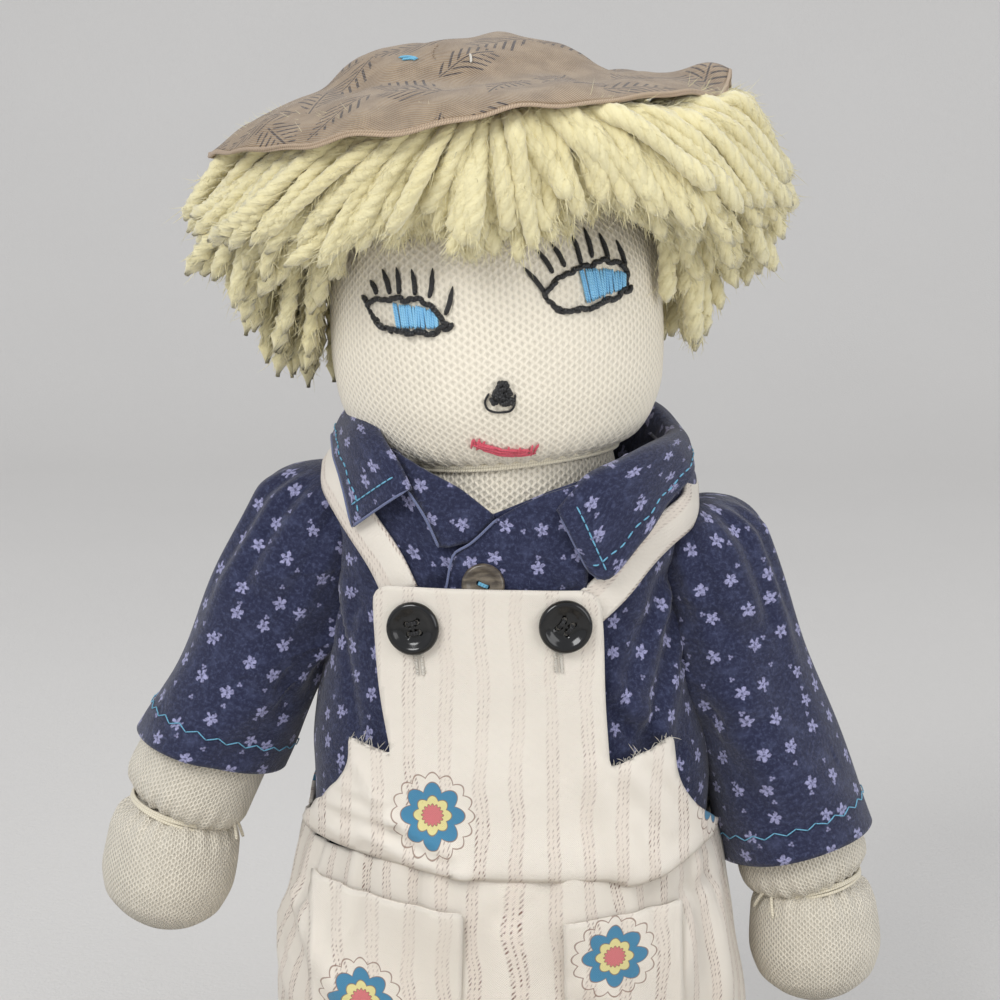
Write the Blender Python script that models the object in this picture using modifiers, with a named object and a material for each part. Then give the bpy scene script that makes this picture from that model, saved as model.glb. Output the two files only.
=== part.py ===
"""Seated rag doll: a stuffed knit body in a shirt, bib overalls, a yarn wig and a cloth hat.

Metres, +Z up. The doll faces -Y and sits on the flat of the overalls, whose centre is the origin.
Sides are named as seen from the front: left is -X and right is +X.
"""
import math

import bmesh
import bpy
from mathutils import Matrix, Vector

# Cloth, skin and clearances
CLOTH = 0.0013
KNIT = 0.0012
GAP = 0.0004
RUNNING_GAP = 0.0006
THREAD_RADIUS = 0.0008
CORD_RADIUS = 0.0015
OVERRUN = 0.020
FAR = 0.400
MESH_MERGE = 0.00001

# Torso: sizes of the stuffed body under the clothes
SHOULDER_TOP = 0.284
HIP_HALF_WIDTH = 0.086
BELLY_HALF_DEPTH = 0.054
SEAT_STUFFING_LIFT = 0.0019
TORSO_SECTION_SHARES = (
    # height, half width, half depth, as shares of the shoulder top, the hips and the belly
    (0.000, 0.80, 0.72),
    (0.030, 0.91, 0.88),
    (0.110, 0.98, 0.97),
    (0.290, 1.00, 1.00),
    (0.430, 0.91, 0.97),
    (0.520, 0.80, 0.94),
    (0.640, 0.73, 0.87),
    (0.780, 0.72, 0.83),
    (0.890, 0.71, 0.82),
    (0.955, 0.65, 0.82),
    (1.000, 0.545, 0.815),
)
TORSO_SIDES = 20

# Head and neck
NECK_RISE = 0.0060
NECK_PIVOT = Vector((0.0, 0.0, SHOULDER_TOP + NECK_RISE))
NECK_RADIUS = 0.041
HEAD_HEIGHT = 0.123
HEAD_HALF_WIDTH = 0.0665
HEAD_HALF_DEPTH = 0.0615
HEAD_LIFT = 0.0115
HEAD_ROLL = math.radians(-4.6)
HEAD_SECTION_SHARES = (
    # height, half width and half depth, as shares of the head's own sizes
    (0.000, 0.645, 0.695),
    (0.030, 0.775, 0.800),
    (0.100, 0.885, 0.890),
    (0.220, 0.965, 0.968),
    (0.400, 1.000, 1.000),
    (0.540, 0.995, 1.000),
    (0.680, 0.950, 0.960),
    (0.800, 0.850, 0.860),
    (0.900, 0.680, 0.700),
    (0.965, 0.430, 0.450),
    (1.000, 0.120, 0.120),
)
HEAD_SIDES = 20
NECK_TIE_STANDOFF = 0.0014
NECK_TIE_RADIUS = NECK_RADIUS + NECK_TIE_STANDOFF
NECK_TIE_HEIGHT = 0.0093

# Face stitching: places are across and up from the middle of the tie, on the upright head
STITCH_LAYER = 0.0010
EYE_WIDTH = 0.033
EYE_HEIGHT = 0.0165
EYE_SPACING = 0.0355
EYE_LEVEL = 0.052
EYE_OUTLINE = 0.0018
EYE_SLANT = math.radians(7.0)
IRIS_WIDTH = 0.016
IRIS_HEIGHT = 0.010
IRIS_OFFSET = 0.004
NOSE_WIDTH = 0.0105
NOSE_HEIGHT = 0.0125
NOSE_LEVEL = 0.0285
MOUTH_WIDTH = 0.027
MOUTH_HEIGHT = 0.0045
MOUTH_LEVEL = 0.0085
FACE_FRONT_SHARE = 0.35

# Hat: a shallow crown over a drooping brim, tipped to the left
HAT_ASIDE = 0.0155
HAT_BACK = 0.0020
HAT_RISE = 0.0040
HEAD_TOP = NECK_PIVOT.z + HEAD_LIFT + HEAD_HEIGHT
HAT_CENTRE = Vector((-HAT_ASIDE, HAT_BACK, HEAD_TOP + HAT_RISE))
HAT_ROLL = math.radians(-6.7)
CROWN_INSET = 0.0075
CROWN_RADIUS = HEAD_HALF_WIDTH - CROWN_INSET
CROWN_HEIGHT = 0.0165
BRIM_WIDTH = 0.0425
BRIM_RADIUS = CROWN_RADIUS + BRIM_WIDTH
BRIM_DROP = 0.0185
CROWN_SHARES = ((0.0, 1.0), (0.40, 0.96), (0.70, 0.82), (0.91, 0.52), (1.0, 0.0))
BRIM_SHARES = ((0.0, 1.0), (0.35, 0.80), (0.7, 0.42), (1.0, 0.0))
HAT_SIDES = 24

# Wig: four bundles of yarn that fill the room between the head and the hat
HAIR_SIDE_REACH = 0.112
HAIR_FRONT_REACH = 0.083
HAIR_BACK_REACH = 0.100
HAIR_SIDE_DROP = 0.0725
HAIR_FRONT_DROP = 0.0365
HAIR_BACK_DROP = 0.0825
HAIR_TIP_DEPTH = 0.030
HAIR_TIP_THICKNESS = 0.026
HAIR_RISE = 0.0275
HAIR_CORE = 0.003
HAIR_PARTING = 0.0006
HAIR_SCALP_SHARE = 0.7
HAIR_TIP_SLOPE_SHARE = 0.33
HAIR_STEPS = 5

# Arms: one set of sizes, with the lean, length and height that the photographed pose gives each
ARM_RADIUS = 0.0250
WRIST_RADIUS = 0.0215
HAND_RADIUS = 0.0265
HAND_LENGTH = 0.051
WRIST_OPENING = 0.0125
SHOULDER_INSET = 0.033
SHOULDER_OUT = HIP_HALF_WIDTH + ARM_RADIUS - SHOULDER_INSET
SLEEVE_HEM_EASE = 0.0050
SLEEVE_HEM_RADIUS = ARM_RADIUS + SLEEVE_HEM_EASE
SLEEVE_FLARE_SHARES = ((0.45, 0.75), (1.0, 1.0))
ARMS = {
    # side: sign of X, rise over the shoulder top, lean, length to the wrist tie, sleeve length, hand lean
    "left": (-1, 0.006, math.radians(27.0), 0.126, 0.097, math.radians(11.0)),
    "right": (1, -0.006, math.radians(19.5), 0.138, 0.119, math.radians(3.0)),
}
SHOULDER_STITCH_RADIUS = 0.012

# Legs, straight out on the surface that the doll sits on
LEG_RADIUS = 0.0360
ANKLE_RADIUS = 0.0260
FOOT_RADIUS = 0.0320
FOOT_LENGTH = 0.066
ANKLE_OPENING = 0.0160
TROUSER_LEG_EASE = 0.0060
TROUSER_LEG_RADIUS = LEG_RADIUS + TROUSER_LEG_EASE
CROTCH_HALF_WIDTH = 0.0072
CROTCH_GAP = 0.0008
HIP_OUT = TROUSER_LEG_RADIUS + CROTCH_GAP + CROTCH_HALF_WIDTH
HIP_BEHIND_BELLY = 0.030
HIP_FORWARD = BELLY_HALF_DEPTH - HIP_BEHIND_BELLY
TROUSER_LEG_LENGTH = 0.215
LEG_LENGTH = 0.240
LEG_CLEAR_OF_FLOOR = 0.0004
LEG_SPLAY = math.radians(9.0)
FOOT_LIFT = math.radians(20.0)
HIP_RAISE = math.radians(15.0)
HIP_STITCH_RADIUS = 0.014

# Overalls
OVERALL_EASE = 0.0012
WAIST = 0.1425
BIB_BELOW_SHOULDER = 0.0290
BIB_TOP = SHOULDER_TOP - BIB_BELOW_SHOULDER
BIB_LEFT = -0.0515
BIB_RIGHT = 0.0360
BIB_CORNER = 0.008
SIDE_HEIGHT = 0.0485
SIDE_TOP = WAIST + SIDE_HEIGHT
SIDE_NOTCH_RADIUS = 0.010
BACK_BELOW_SHOULDER = 0.0590
BACK_TOP = SHOULDER_TOP - BACK_BELOW_SHOULDER
BACK_HALF_WIDTH = 0.040
SIDE_SEAM = 0.0004
SEAT_EASE = 0.0105
BELLY_EASE = 0.0070
TROUSER_SECTION_SHARES = (
    # height as a share of the waist, room over the torso as shares of the seat's and the belly's ease
    (0.000, 1.00, 0.80),
    (0.025, 1.37, 1.24),
    (0.120, 1.17, 1.10),
    (0.300, 1.12, 1.03),
    (0.500, 1.04, 1.06),
    (0.680, 0.95, 1.08),
    (0.850, 0.84, 1.23),
    (0.960, 1.01, 1.24),
    (1.000, 0.62, 0.76),
)
POCKET_BELOW_WAIST = 0.0085
POCKET_HEIGHT = 0.0320
POCKET_TOP = WAIST - POCKET_BELOW_WAIST
POCKET_BOTTOM = POCKET_TOP - POCKET_HEIGHT
POCKET_ROWS = 3
POCKET_COLUMNS = 6
POCKETS = {"left": (-0.0780, -0.0180), "right": (0.0200, 0.0680)}
STRAP_WIDTH = 0.0140
STRAP_INSET = 0.0005
STRAP_FROM_SHOULDER = 0.0130
STRAP_RISE = 0.0098
STRAP_TOP = SHOULDER_TOP + STRAP_RISE
STRAP_EASE = 0.0010
STRAP_ROUNDING_SHARE = 0.8
STRAP_STEPS = 5
BIB_BUTTON_RADIUS = 0.0103
BIB_BUTTON_THICKNESS = 0.0034
BIB_BUTTON_RIM = 0.0020
BIB_BUTTON_DISH = 0.0010
SHIRT_BUTTON_RIM = 0.0012
SHIRT_BUTTON_DISH = 0.0006
BUTTON_SECTION_SHARES = (
    # inward from the edge as a share of the rim, depth as a share of the thickness
    (0.70, 1.00),
    (0.20, 1.00),
    (0.00, 0.60),
    (0.40, 0.00),
)
THREAD_HOLE_RADIUS = 0.0010
THREAD_HOLE_SIDES = 8
THREAD_HOLE_SPACING = 0.0018
BIB_BUTTON_INSET = 0.0151
BIB_BUTTON_DROP = 0.0128

# Shirt
SHIRT_EASE = 0.0018
SHIRT_TUCK = 0.0375
SHIRT_HEM = WAIST - SHIRT_TUCK
SHIRT_NECK_WIDTH = 0.052
SHIRT_NECK_DROP = 0.0140
SHIRT_NECK_CLEAR = 0.0160
SHIRT_FRONT_SHARE = 0.35
COLLAR_SIDE_INSET = 0.0010
COLLAR_HALF_WIDTH = HEAD_HALF_WIDTH - COLLAR_SIDE_INSET
COLLAR_FRONT_ROOM = 0.0035
COLLAR_HALF_DEPTH = HEAD_HALF_DEPTH + COLLAR_FRONT_ROOM
STRAP_X = max(COLLAR_HALF_WIDTH - STRAP_INSET, SHOULDER_OUT - STRAP_FROM_SHOULDER)
COLLAR_RISE = 0.0250
COLLAR_FOLD = SHOULDER_TOP + COLLAR_RISE
COLLAR_FALL = 0.011
COLLAR_FLARE = 0.0045
COLLAR_POINT_SPREAD_SHARE = 0.16
COLLARS = {
    # side: sweep round the neck from the back, where its point is along that, extra fall at the point
    "left": (math.radians(142.0), 0.93, 0.021),
    "right": (math.radians(147.0), 0.97, 0.040),
}
COLLAR_STEPS = 8
SHIRT_BUTTON_RADIUS = 0.0083
SHIRT_BUTTON_THICKNESS = 0.0025
SHIRT_BUTTON_X = -0.0100
SHIRT_BUTTON_ABOVE_BIB = 0.0100

# Shared shapes and counts
LIMB_TAPER_SHARES = ((0.0, 1.0), (0.85, 1.0), (0.93, 0.45), (1.0, 0.0))
BULB_GROWING_SHARES = ((0.18, 0.62), (0.42, 1.0))
BULB_CLOSING_SHARES = ((0.68, 0.96), (0.86, 0.70), (0.96, 0.38))
ROUND_SIDES = 16
BUTTON_SIDES = 12
CUTTER_SIDES = 20
THREAD_SIDES = 4
ARC_STEPS = 3

DOLL = "rag_doll"
CUTTERS = "cutters"
SIDES = {"left": -1, "right": 1}
HEAD_PIECES = ("head", "neck", "eye", "iris", "nose", "mouth", "hair", "hat")
LIMB_PIECES = {
    "shoulder_joint": ("shoulder", "arm", "shirt_sleeve", "wrist"),
    "wrist_joint": ("hand",),
    "hip_joint": ("hip", "leg", "trouser_leg", "ankle"),
    "ankle_joint": ("foot",),
}
COLOURS = {
    # colour, roughness, metallic
    "knit": ((0.75, 0.69, 0.53), 0.95, 0.0),
    "stuffing": ((0.85, 0.84, 0.80), 1.0, 0.0),
    "yarn": ((0.72, 0.68, 0.30), 1.0, 0.0),
    "cord": ((0.80, 0.76, 0.66), 0.9, 0.0),
    "black_thread": ((0.010, 0.010, 0.012), 0.45, 0.0),
    "blue_thread": ((0.10, 0.45, 0.83), 0.5, 0.0),
    "pink_thread": ((0.70, 0.07, 0.13), 0.5, 0.0),
    "flannel": ((0.045, 0.057, 0.165), 0.95, 0.0),
    "hat_twill": ((0.34, 0.25, 0.17), 0.9, 0.0),
    "overall_cotton": ((0.78, 0.70, 0.60), 0.9, 0.0),
    "black_button": ((0.008, 0.008, 0.009), 0.12, 0.0),
    "brown_button": ((0.055, 0.050, 0.048), 0.25, 0.0),
}


def clear_scene():
    for old in list(bpy.data.objects):
        bpy.data.objects.remove(old)
    for name in (DOLL, CUTTERS):
        bpy.context.scene.collection.children.link(bpy.data.collections.new(name))


def material(name):
    made = bpy.data.materials.get(name)
    if made:
        return made
    colour, roughness, metallic = COLOURS[name]
    made = bpy.data.materials.new(name)
    made.use_nodes = True
    shader = made.node_tree.nodes["Principled BSDF"]
    shader.inputs["Base Color"].default_value = (*colour, 1.0)
    shader.inputs["Roughness"].default_value = roughness
    shader.inputs["Metallic"].default_value = metallic
    return made


def place(name, mesh, finish):
    """Put a mesh in the scene: a piece of the doll where it has a finish, else a hidden cutter."""
    made = bpy.data.objects.new(name, mesh)
    if finish:
        mesh.materials.append(material(finish))
        bpy.data.collections[DOLL].objects.link(made)
    else:
        made.hide_render = True
        made.display_type = "WIRE"
        bpy.data.collections[CUTTERS].objects.link(made)
    return made


def mesh_of(bm, name):
    mesh = bpy.data.meshes.new(name)
    bm.to_mesh(mesh)
    bm.free()
    mesh.shade_smooth()
    return mesh


def ellipse(centre, half_width, half_depth, sides, frame=None):
    """Points of a level ring, anticlockwise from above."""
    frame = frame or Matrix()
    turns = [math.tau * step / sides for step in range(sides)]
    flat = [Vector((half_width * math.cos(a), half_depth * math.sin(a), 0.0)) for a in turns]
    return [frame @ (centre + point) for point in flat]


def lofted(name, rings, finish, open_top=False, open_bottom=False):
    """Join rings, lowest first, into one surface whose faces point out."""
    bm = bmesh.new()
    rows = [[bm.verts.new(point) for point in ring] for ring in rings]
    count = len(rows[0])
    for low, high in zip(rows, rows[1:]):
        for at in range(count):
            after = (at + 1) % count
            bm.faces.new((low[at], low[after], high[after], high[at]))
    if not open_bottom:
        bm.faces.new(reversed(rows[0]))
    if not open_top:
        bm.faces.new(rows[-1])
    return place(name, mesh_of(bm, name), finish)


def sheet(name, rows, finish, thickness=CLOTH, offset=1.0):
    """A piece of cloth through rows of points, thickened to one side with Solidify."""
    bm = bmesh.new()
    grid = [[bm.verts.new(point) for point in row] for row in rows]
    for here, there in zip(grid, grid[1:]):
        for at in range(len(here) - 1):
            bm.faces.new((here[at], here[at + 1], there[at + 1], there[at]))
    made = place(name, mesh_of(bm, name), finish)
    thicken(made, thickness, offset)
    return made


def thicken(piece, thickness, offset=-1.0):
    solid = piece.modifiers.new("thickness", "SOLIDIFY")
    solid.thickness = thickness
    solid.offset = offset


def turned(name, profile, centre, direction, finish, sides=ROUND_SIDES):
    """Turn a profile of (radius, distance along the direction), given from its start, into a solid."""
    closed = profile[0] == profile[-1]
    points = [(radius, 0.0, -distance) for radius, distance in profile[:len(profile) - closed]]
    edges = [(at, at + 1) for at in range(len(points) - 1)]
    if closed:
        edges.append((len(points) - 1, 0))
    mesh = bpy.data.meshes.new(name)
    mesh.from_pydata(points, edges, [])
    made = place(name, mesh, finish)
    made.location = centre
    made.rotation_euler = (-direction).to_track_quat("Z", "Y").to_euler()
    screw = made.modifiers.new("turn", "SCREW")
    screw.axis = "Z"
    screw.angle = math.tau
    screw.steps = sides
    screw.render_steps = sides
    screw.use_merge_vertices = True
    screw.merge_threshold = MESH_MERGE
    screw.use_smooth_shade = True
    return made


def ball(name, centre, radius, finish=None, sides=CUTTER_SIDES):
    """A ball, or a cutter whose flats stay outside the radius."""
    if not finish:
        radius /= math.cos(math.pi / sides) ** 2
    bm = bmesh.new()
    bmesh.ops.create_uvsphere(bm, u_segments=sides, v_segments=sides // 2, radius=radius)
    made = place(name, mesh_of(bm, name), finish)
    made.location = centre
    return made


def ring(name, centre, axis, major, minor, finish, sides=ROUND_SIDES):
    """A closed loop of cord or thread around an axis."""
    turns = [math.tau * at / THREAD_SIDES for at in range(THREAD_SIDES)]
    loop = [(major + minor * math.cos(turn), minor * math.sin(turn)) for turn in turns]
    return turned(name, loop + loop[:1], centre, axis, finish, sides)


def box(name, low, high):
    bm = bmesh.new()
    bmesh.ops.create_cube(bm, size=1.0)
    middle = (low + high) / 2
    size = high - low
    bmesh.ops.transform(bm, matrix=Matrix.LocRotScale(middle, None, size), verts=bm.verts)
    return place(name, mesh_of(bm, name), None)


def prism(name, outline, axis, reach, finish=None):
    """A flat outline, drawn square to an axis, pushed along it."""
    bm = bmesh.new()
    face = bm.faces.new([bm.verts.new(point) for point in outline])
    pushed = bmesh.ops.extrude_face_region(bm, geom=[face])["geom"]
    moved = [part for part in pushed if isinstance(part, bmesh.types.BMVert)]
    bmesh.ops.translate(bm, verts=moved, vec=axis * reach)
    bmesh.ops.recalc_face_normals(bm, faces=bm.faces)
    return place(name, mesh_of(bm, name), finish)


def cut(piece, cutters, operation="DIFFERENCE"):
    for cutter in cutters:
        boolean = piece.modifiers.new(cutter.name, "BOOLEAN")
        boolean.operation = operation
        boolean.solver = "EXACT"
        boolean.object = cutter
    return piece


def share_at(table, share):
    """Read a table of shares at a height share between its rows."""
    for low, high in zip(table, table[1:]):
        if share <= high[0]:
            along = max(0.0, (share - low[0]) / (high[0] - low[0]))
            return [a + (b - a) * along for a, b in zip(low[1:], high[1:])]
    return list(table[-1][1:])


def torso_size(height):
    width_share, depth_share = share_at(TORSO_SECTION_SHARES, height / SHOULDER_TOP)
    return HIP_HALF_WIDTH * width_share, BELLY_HALF_DEPTH * depth_share


def trouser_size(height):
    half_width, half_depth = torso_size(height)
    side_ease, front_ease = share_at(TROUSER_SECTION_SHARES, height / WAIST)
    return half_width + SEAT_EASE * side_ease, half_depth + BELLY_EASE * front_ease


def torso_rings(outset, bottom, top):
    """Rings around the torso, a set distance outside its skin, between two heights."""
    heights = [row[0] * SHOULDER_TOP for row in TORSO_SECTION_SHARES]
    levels = [bottom] + [level for level in heights if bottom < level < top] + [top]
    rings = []
    for level in levels:
        half_width, half_depth = torso_size(level)
        centre = Vector((0.0, 0.0, level))
        rings.append(ellipse(centre, half_width + outset, half_depth + outset, TORSO_SIDES))
    return rings


def hip_centre(sign):
    height = TROUSER_LEG_RADIUS + LEG_CLEAR_OF_FLOOR
    return Vector((sign * HIP_OUT, -HIP_FORWARD, height))


def leg_direction(sign):
    return Vector((sign * math.sin(LEG_SPLAY), -math.cos(LEG_SPLAY), 0.0))


def shoulder_centre(side):
    sign, rise = ARMS[side][:2]
    return Vector((sign * SHOULDER_OUT, 0.0, SHOULDER_TOP + rise - ARM_RADIUS))


def lean_direction(sign, lean):
    return Vector((sign * math.sin(lean), 0.0, -math.cos(lean)))


def sleeve_profile(side):
    """Outer radius of a sleeve at points along the arm, from the round shoulder to the hem."""
    length = ARMS[side][4]
    cap = ARM_RADIUS + GAP + CLOTH
    flare = SLEEVE_HEM_RADIUS - cap
    return [(cap, 0.0)] + [(cap + flare * out, length * along) for along, out in SLEEVE_FLARE_SHARES]


def dome(radius, steps=ARC_STEPS):
    """A quarter circle from the pole to the widest point of a ball about distance zero."""
    turns = [math.pi / 2 * step / steps for step in range(steps)]
    return [(radius * math.sin(a), -radius * math.cos(a)) for a in turns]


def arm_sweep(side):
    """The room that a sleeve sweeps as it swings about its shoulder, turned about that axis."""
    sign = ARMS[side][0]
    lean = ARMS[side][2]
    cap = sleeve_profile(side)[0][0]
    room = cap + GAP + 2 * THREAD_RADIUS + GAP
    turns = [lean * step / ARC_STEPS for step in range(ARC_STEPS)]
    spread = [(room * math.sin(a), room * math.cos(a)) for a in turns]
    edge = []
    for radius, along in sleeve_profile(side):
        wide = radius + room - cap
        inward = wide * math.cos(lean) - along * math.sin(lean)
        edge.append((wide * math.sin(lean) + along * math.cos(lean), inward))
    far = (edge[-1][0], -FAR)
    profile = [(radius, -inward) for radius, inward in spread + edge + [far]]
    profile.append((0.0, FAR))
    return turned(side + "_arm_sweep", profile, shoulder_centre(side), Vector((sign, 0.0, 0.0)), None,
                  CUTTER_SIDES)


def leg_cutters(side):
    """The room that a leg's round top and its swing take from the body, and the floor side of it."""
    sign = SIDES[side]
    centre = hip_centre(sign)
    room = TROUSER_LEG_RADIUS + RUNNING_GAP
    socket = ball(side + "_hip_socket", centre, room)
    ahead = centre.y + room * math.sin(LEG_SPLAY + HIP_RAISE)
    above = centre.z + room
    front_rise = (FAR + ahead) * math.tan(HIP_RAISE)
    inner = sign * CROTCH_HALF_WIDTH
    swing = [(ahead, -FAR), (ahead, above), (-FAR, above + front_rise), (-FAR, -FAR)]
    front = prism(side + "_lap_cut", [Vector((inner, y, z)) for y, z in swing],
                  Vector((sign, 0.0, 0.0)), FAR)
    behind = centre.y + room
    under = box(side + "_seat_cut", Vector((min(inner, sign * FAR), ahead - OVERRUN, -FAR)),
                Vector((max(inner, sign * FAR), behind, centre.z)))
    return [socket, front, under]


def head_frame():
    """The head's own upright frame: its origin at the neck pivot, leaning with the head."""
    return Matrix.Translation(NECK_PIVOT) @ Matrix.Rotation(HEAD_ROLL, 4, "Y")


def head_rings(outset, lift=0.0):
    rings = []
    for height, width_share, depth_share in HEAD_SECTION_SHARES:
        centre = Vector((0.0, 0.0, HEAD_LIFT + lift + height * (HEAD_HEIGHT + outset - lift)))
        rings.append(ellipse(centre, HEAD_HALF_WIDTH * width_share + outset,
                             HEAD_HALF_DEPTH * depth_share + outset, HEAD_SIDES, head_frame()))
    return rings


def hat_frame():
    return Matrix.Translation(HAT_CENTRE) @ Matrix.Rotation(HAT_ROLL, 4, "Y")


def crown_line(inset):
    return [((CROWN_RADIUS - inset) * radius, BRIM_DROP + (CROWN_HEIGHT - inset) * height)
            for radius, height in CROWN_SHARES]


def brim_line(lower):
    span = BRIM_RADIUS - CROWN_RADIUS
    return [(CROWN_RADIUS + span * out, BRIM_DROP * height - lower) for out, height in BRIM_SHARES]


def hat_room_profile():
    """Everything above the underside of the hat, for cutting the wig to fit under it."""
    under_edge = -(GAP + CLOTH / 2 + CORD_RADIUS + GAP)
    beyond = BRIM_RADIUS * 2
    profile = [(0.0, FAR), (beyond, FAR), (beyond, under_edge), (BRIM_RADIUS - GAP, under_edge)]
    profile += list(reversed(brim_line(2 * GAP + CLOTH)))[1:]
    return profile + list(reversed(crown_line(CLOTH + GAP)))


def in_hat(name, profile, finish, sides=HAT_SIDES):
    up = hat_frame().to_3x3() @ Vector((0.0, 0.0, 1.0))
    return turned(name, [(radius, -height) for radius, height in profile], HAT_CENTRE, -up, finish, sides)


def make_torso(body_cutters):
    inside = 2 * KNIT + GAP
    skin = lofted("torso_skin", torso_rings(0.0, SEAT_STUFFING_LIFT, SHOULDER_TOP), "knit", open_top=True)
    thicken(skin, KNIT)
    rings = torso_rings(-inside, SEAT_STUFFING_LIFT + inside, SHOULDER_TOP - GAP)
    stuffing = lofted("torso_stuffing", rings, "stuffing")
    neck_room = ball("neck_room", NECK_PIVOT, NECK_RADIUS + GAP)
    for piece in (skin, stuffing):
        cut(piece, body_cutters + [neck_room])


def make_neck():
    ball("neck", NECK_PIVOT, NECK_RADIUS, "knit", ROUND_SIDES)


def make_head():
    neck_room = ball("head_neck_room", NECK_PIVOT, NECK_RADIUS + GAP)
    skin = lofted("head_skin", head_rings(0.0), "knit", open_bottom=True)
    thicken(skin, KNIT)
    cut(skin, [neck_room])
    stuffing = lofted("head_stuffing", head_rings(-KNIT - GAP, KNIT), "stuffing")
    cut(stuffing, [neck_room])
    up = head_frame().to_3x3() @ Vector((0.0, 0.0, 1.0))
    tied = NECK_PIVOT + up * NECK_TIE_HEIGHT
    ring("neck_tie", tied, -up, NECK_TIE_RADIUS, CORD_RADIUS, "cord", HEAD_SIDES)


def face_prism(name, points, finish=None):
    """A prism through the front of the face from points across and up on the head."""
    frame = head_frame()
    start = -HEAD_HALF_DEPTH * FACE_FRONT_SHARE
    outline = [frame @ Vector((across, start, HEAD_LIFT + up)) for across, up in points]
    return prism(name, outline, Vector((0.0, -1.0, 0.0)), HEAD_HALF_DEPTH, finish)


def oval(middle_x, middle_z, width, height, slant=0.0, sides=ROUND_SIDES):
    points = []
    for step in range(sides):
        turn = math.tau * step / sides
        x = width / 2 * math.cos(turn)
        z = height / 2 * math.sin(turn)
        points.append((middle_x + x * math.cos(slant) - z * math.sin(slant),
                       middle_z + x * math.sin(slant) + z * math.cos(slant)))
    return points


def stitched(name, shape, finish, hole=None, thickness=STITCH_LAYER):
    """Embroidery: the part of a thin layer over the face that lies inside a drawn shape."""
    layer = lofted(name, head_rings(GAP), finish, open_bottom=True)
    thicken(layer, thickness, 1.0)
    cut(layer, [shape], "INTERSECT")
    if hole:
        cut(layer, [hole])
    return layer


def make_face():
    for side, sign in SIDES.items():
        across = sign * EYE_SPACING
        outer = face_prism(side + "_eye_shape", oval(across, EYE_LEVEL, EYE_WIDTH, EYE_HEIGHT, EYE_SLANT))
        white = oval(across, EYE_LEVEL, EYE_WIDTH - 2 * EYE_OUTLINE, EYE_HEIGHT - 2 * EYE_OUTLINE, EYE_SLANT)
        stitched("eye_outline_" + side, outer, "black_thread", face_prism(side + "_eye_white", white))
        iris_points = oval(across + IRIS_OFFSET, EYE_LEVEL, IRIS_WIDTH, IRIS_HEIGHT, EYE_SLANT)
        stitched("iris_" + side, face_prism(side + "_iris_shape", iris_points), "blue_thread")
    nose = face_prism("nose_shape", oval(0.0, NOSE_LEVEL, NOSE_WIDTH, NOSE_HEIGHT))
    stitched("nose", nose, "black_thread", thickness=2 * STITCH_LAYER)
    mouth = face_prism("mouth_shape", oval(0.0, MOUTH_LEVEL, MOUTH_WIDTH, MOUTH_HEIGHT))
    stitched("mouth", mouth, "pink_thread")


def hair_reach(turn):
    """How far out and how low the yarn falls at a turn about the head, zero at the right side."""
    forward = max(0.0, -math.sin(turn)) ** 2
    backward = max(0.0, math.sin(turn)) ** 2
    sideways = 1.0 - forward - backward
    reach = HAIR_SIDE_REACH * sideways + HAIR_FRONT_REACH * forward + HAIR_BACK_REACH * backward
    drop = HAIR_SIDE_DROP * sideways + HAIR_FRONT_DROP * forward + HAIR_BACK_DROP * backward
    return reach, HEAD_TOP - drop


def hair_section(turn):
    """A slice of yarn: from the crown of the head out to the hanging tips and back over the skin."""
    reach, hang = hair_reach(turn)
    top = HEAD_TOP + HAIR_RISE
    return [
        (HAIR_CORE, top),
        (CROWN_RADIUS, top),
        (reach, (top + hang) / 2 + HAIR_TIP_THICKNESS / 2),
        (reach, hang + HAIR_TIP_THICKNESS / 2),
        (reach - HAIR_TIP_DEPTH * HAIR_TIP_SLOPE_SHARE, hang),
        (reach - HAIR_TIP_DEPTH, hang),
        (HEAD_HALF_DEPTH * HAIR_SCALP_SHARE, hang + HAIR_TIP_THICKNESS / 2),
        (HAIR_CORE, HEAD_TOP - HAIR_TIP_DEPTH),
    ]


def make_hair():
    bundles = {"right": 0.0, "back": math.pi / 2, "left": math.pi, "front": 3 * math.pi / 2}
    head_room = lofted("head_room", head_rings(GAP), None)
    hat_room = in_hat("hat_room", hat_room_profile(), None)
    shift = Vector((HAT_CENTRE.x / 2, 0.0, 0.0))
    for place_name, middle in bundles.items():
        rings = []
        for step in range(HAIR_STEPS):
            turn = middle + math.pi / 2 * (step / (HAIR_STEPS - 1) - 0.5)
            aside = Vector((math.cos(middle), math.sin(middle), 0.0)) * HAIR_PARTING
            slice_points = [Vector((r * math.cos(turn), r * math.sin(turn), z)) + aside + shift
                            for r, z in hair_section(turn)]
            rings.append(slice_points)
        bundle = lofted("hair_" + place_name, rings, "yarn")
        cut(bundle, [head_room, hat_room])


def make_hat():
    in_hat("hat_crown", crown_line(0.0) + list(reversed(crown_line(CLOTH))), "hat_twill")
    upper = brim_line(GAP)
    in_hat("hat_brim", upper + list(reversed(brim_line(GAP + CLOTH))) + upper[:1], "hat_twill")
    up = hat_frame().to_3x3() @ Vector((0.0, 0.0, 1.0))
    low = HAT_CENTRE - up * (GAP + CLOTH / 2)
    ring("hat_binding", low, -up, BRIM_RADIUS + GAP + CORD_RADIUS, CORD_RADIUS, "hat_twill", HAT_SIDES)


def limb_profile(radius, end_radius, length, outset):
    """Outline of a stuffed tube: a round top, a straight run, a taper and a round end past the tie."""
    taper = radius - end_radius
    run = [(end_radius + taper * full + outset, length * along) for along, full in LIMB_TAPER_SHARES]
    end = []
    for step in range(1, ARC_STEPS):
        turn = math.pi / 2 * step / ARC_STEPS
        end.append(((end_radius + outset) * math.cos(turn), length + (end_radius + outset) * math.sin(turn)))
    return dome(radius + outset) + run + end


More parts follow.
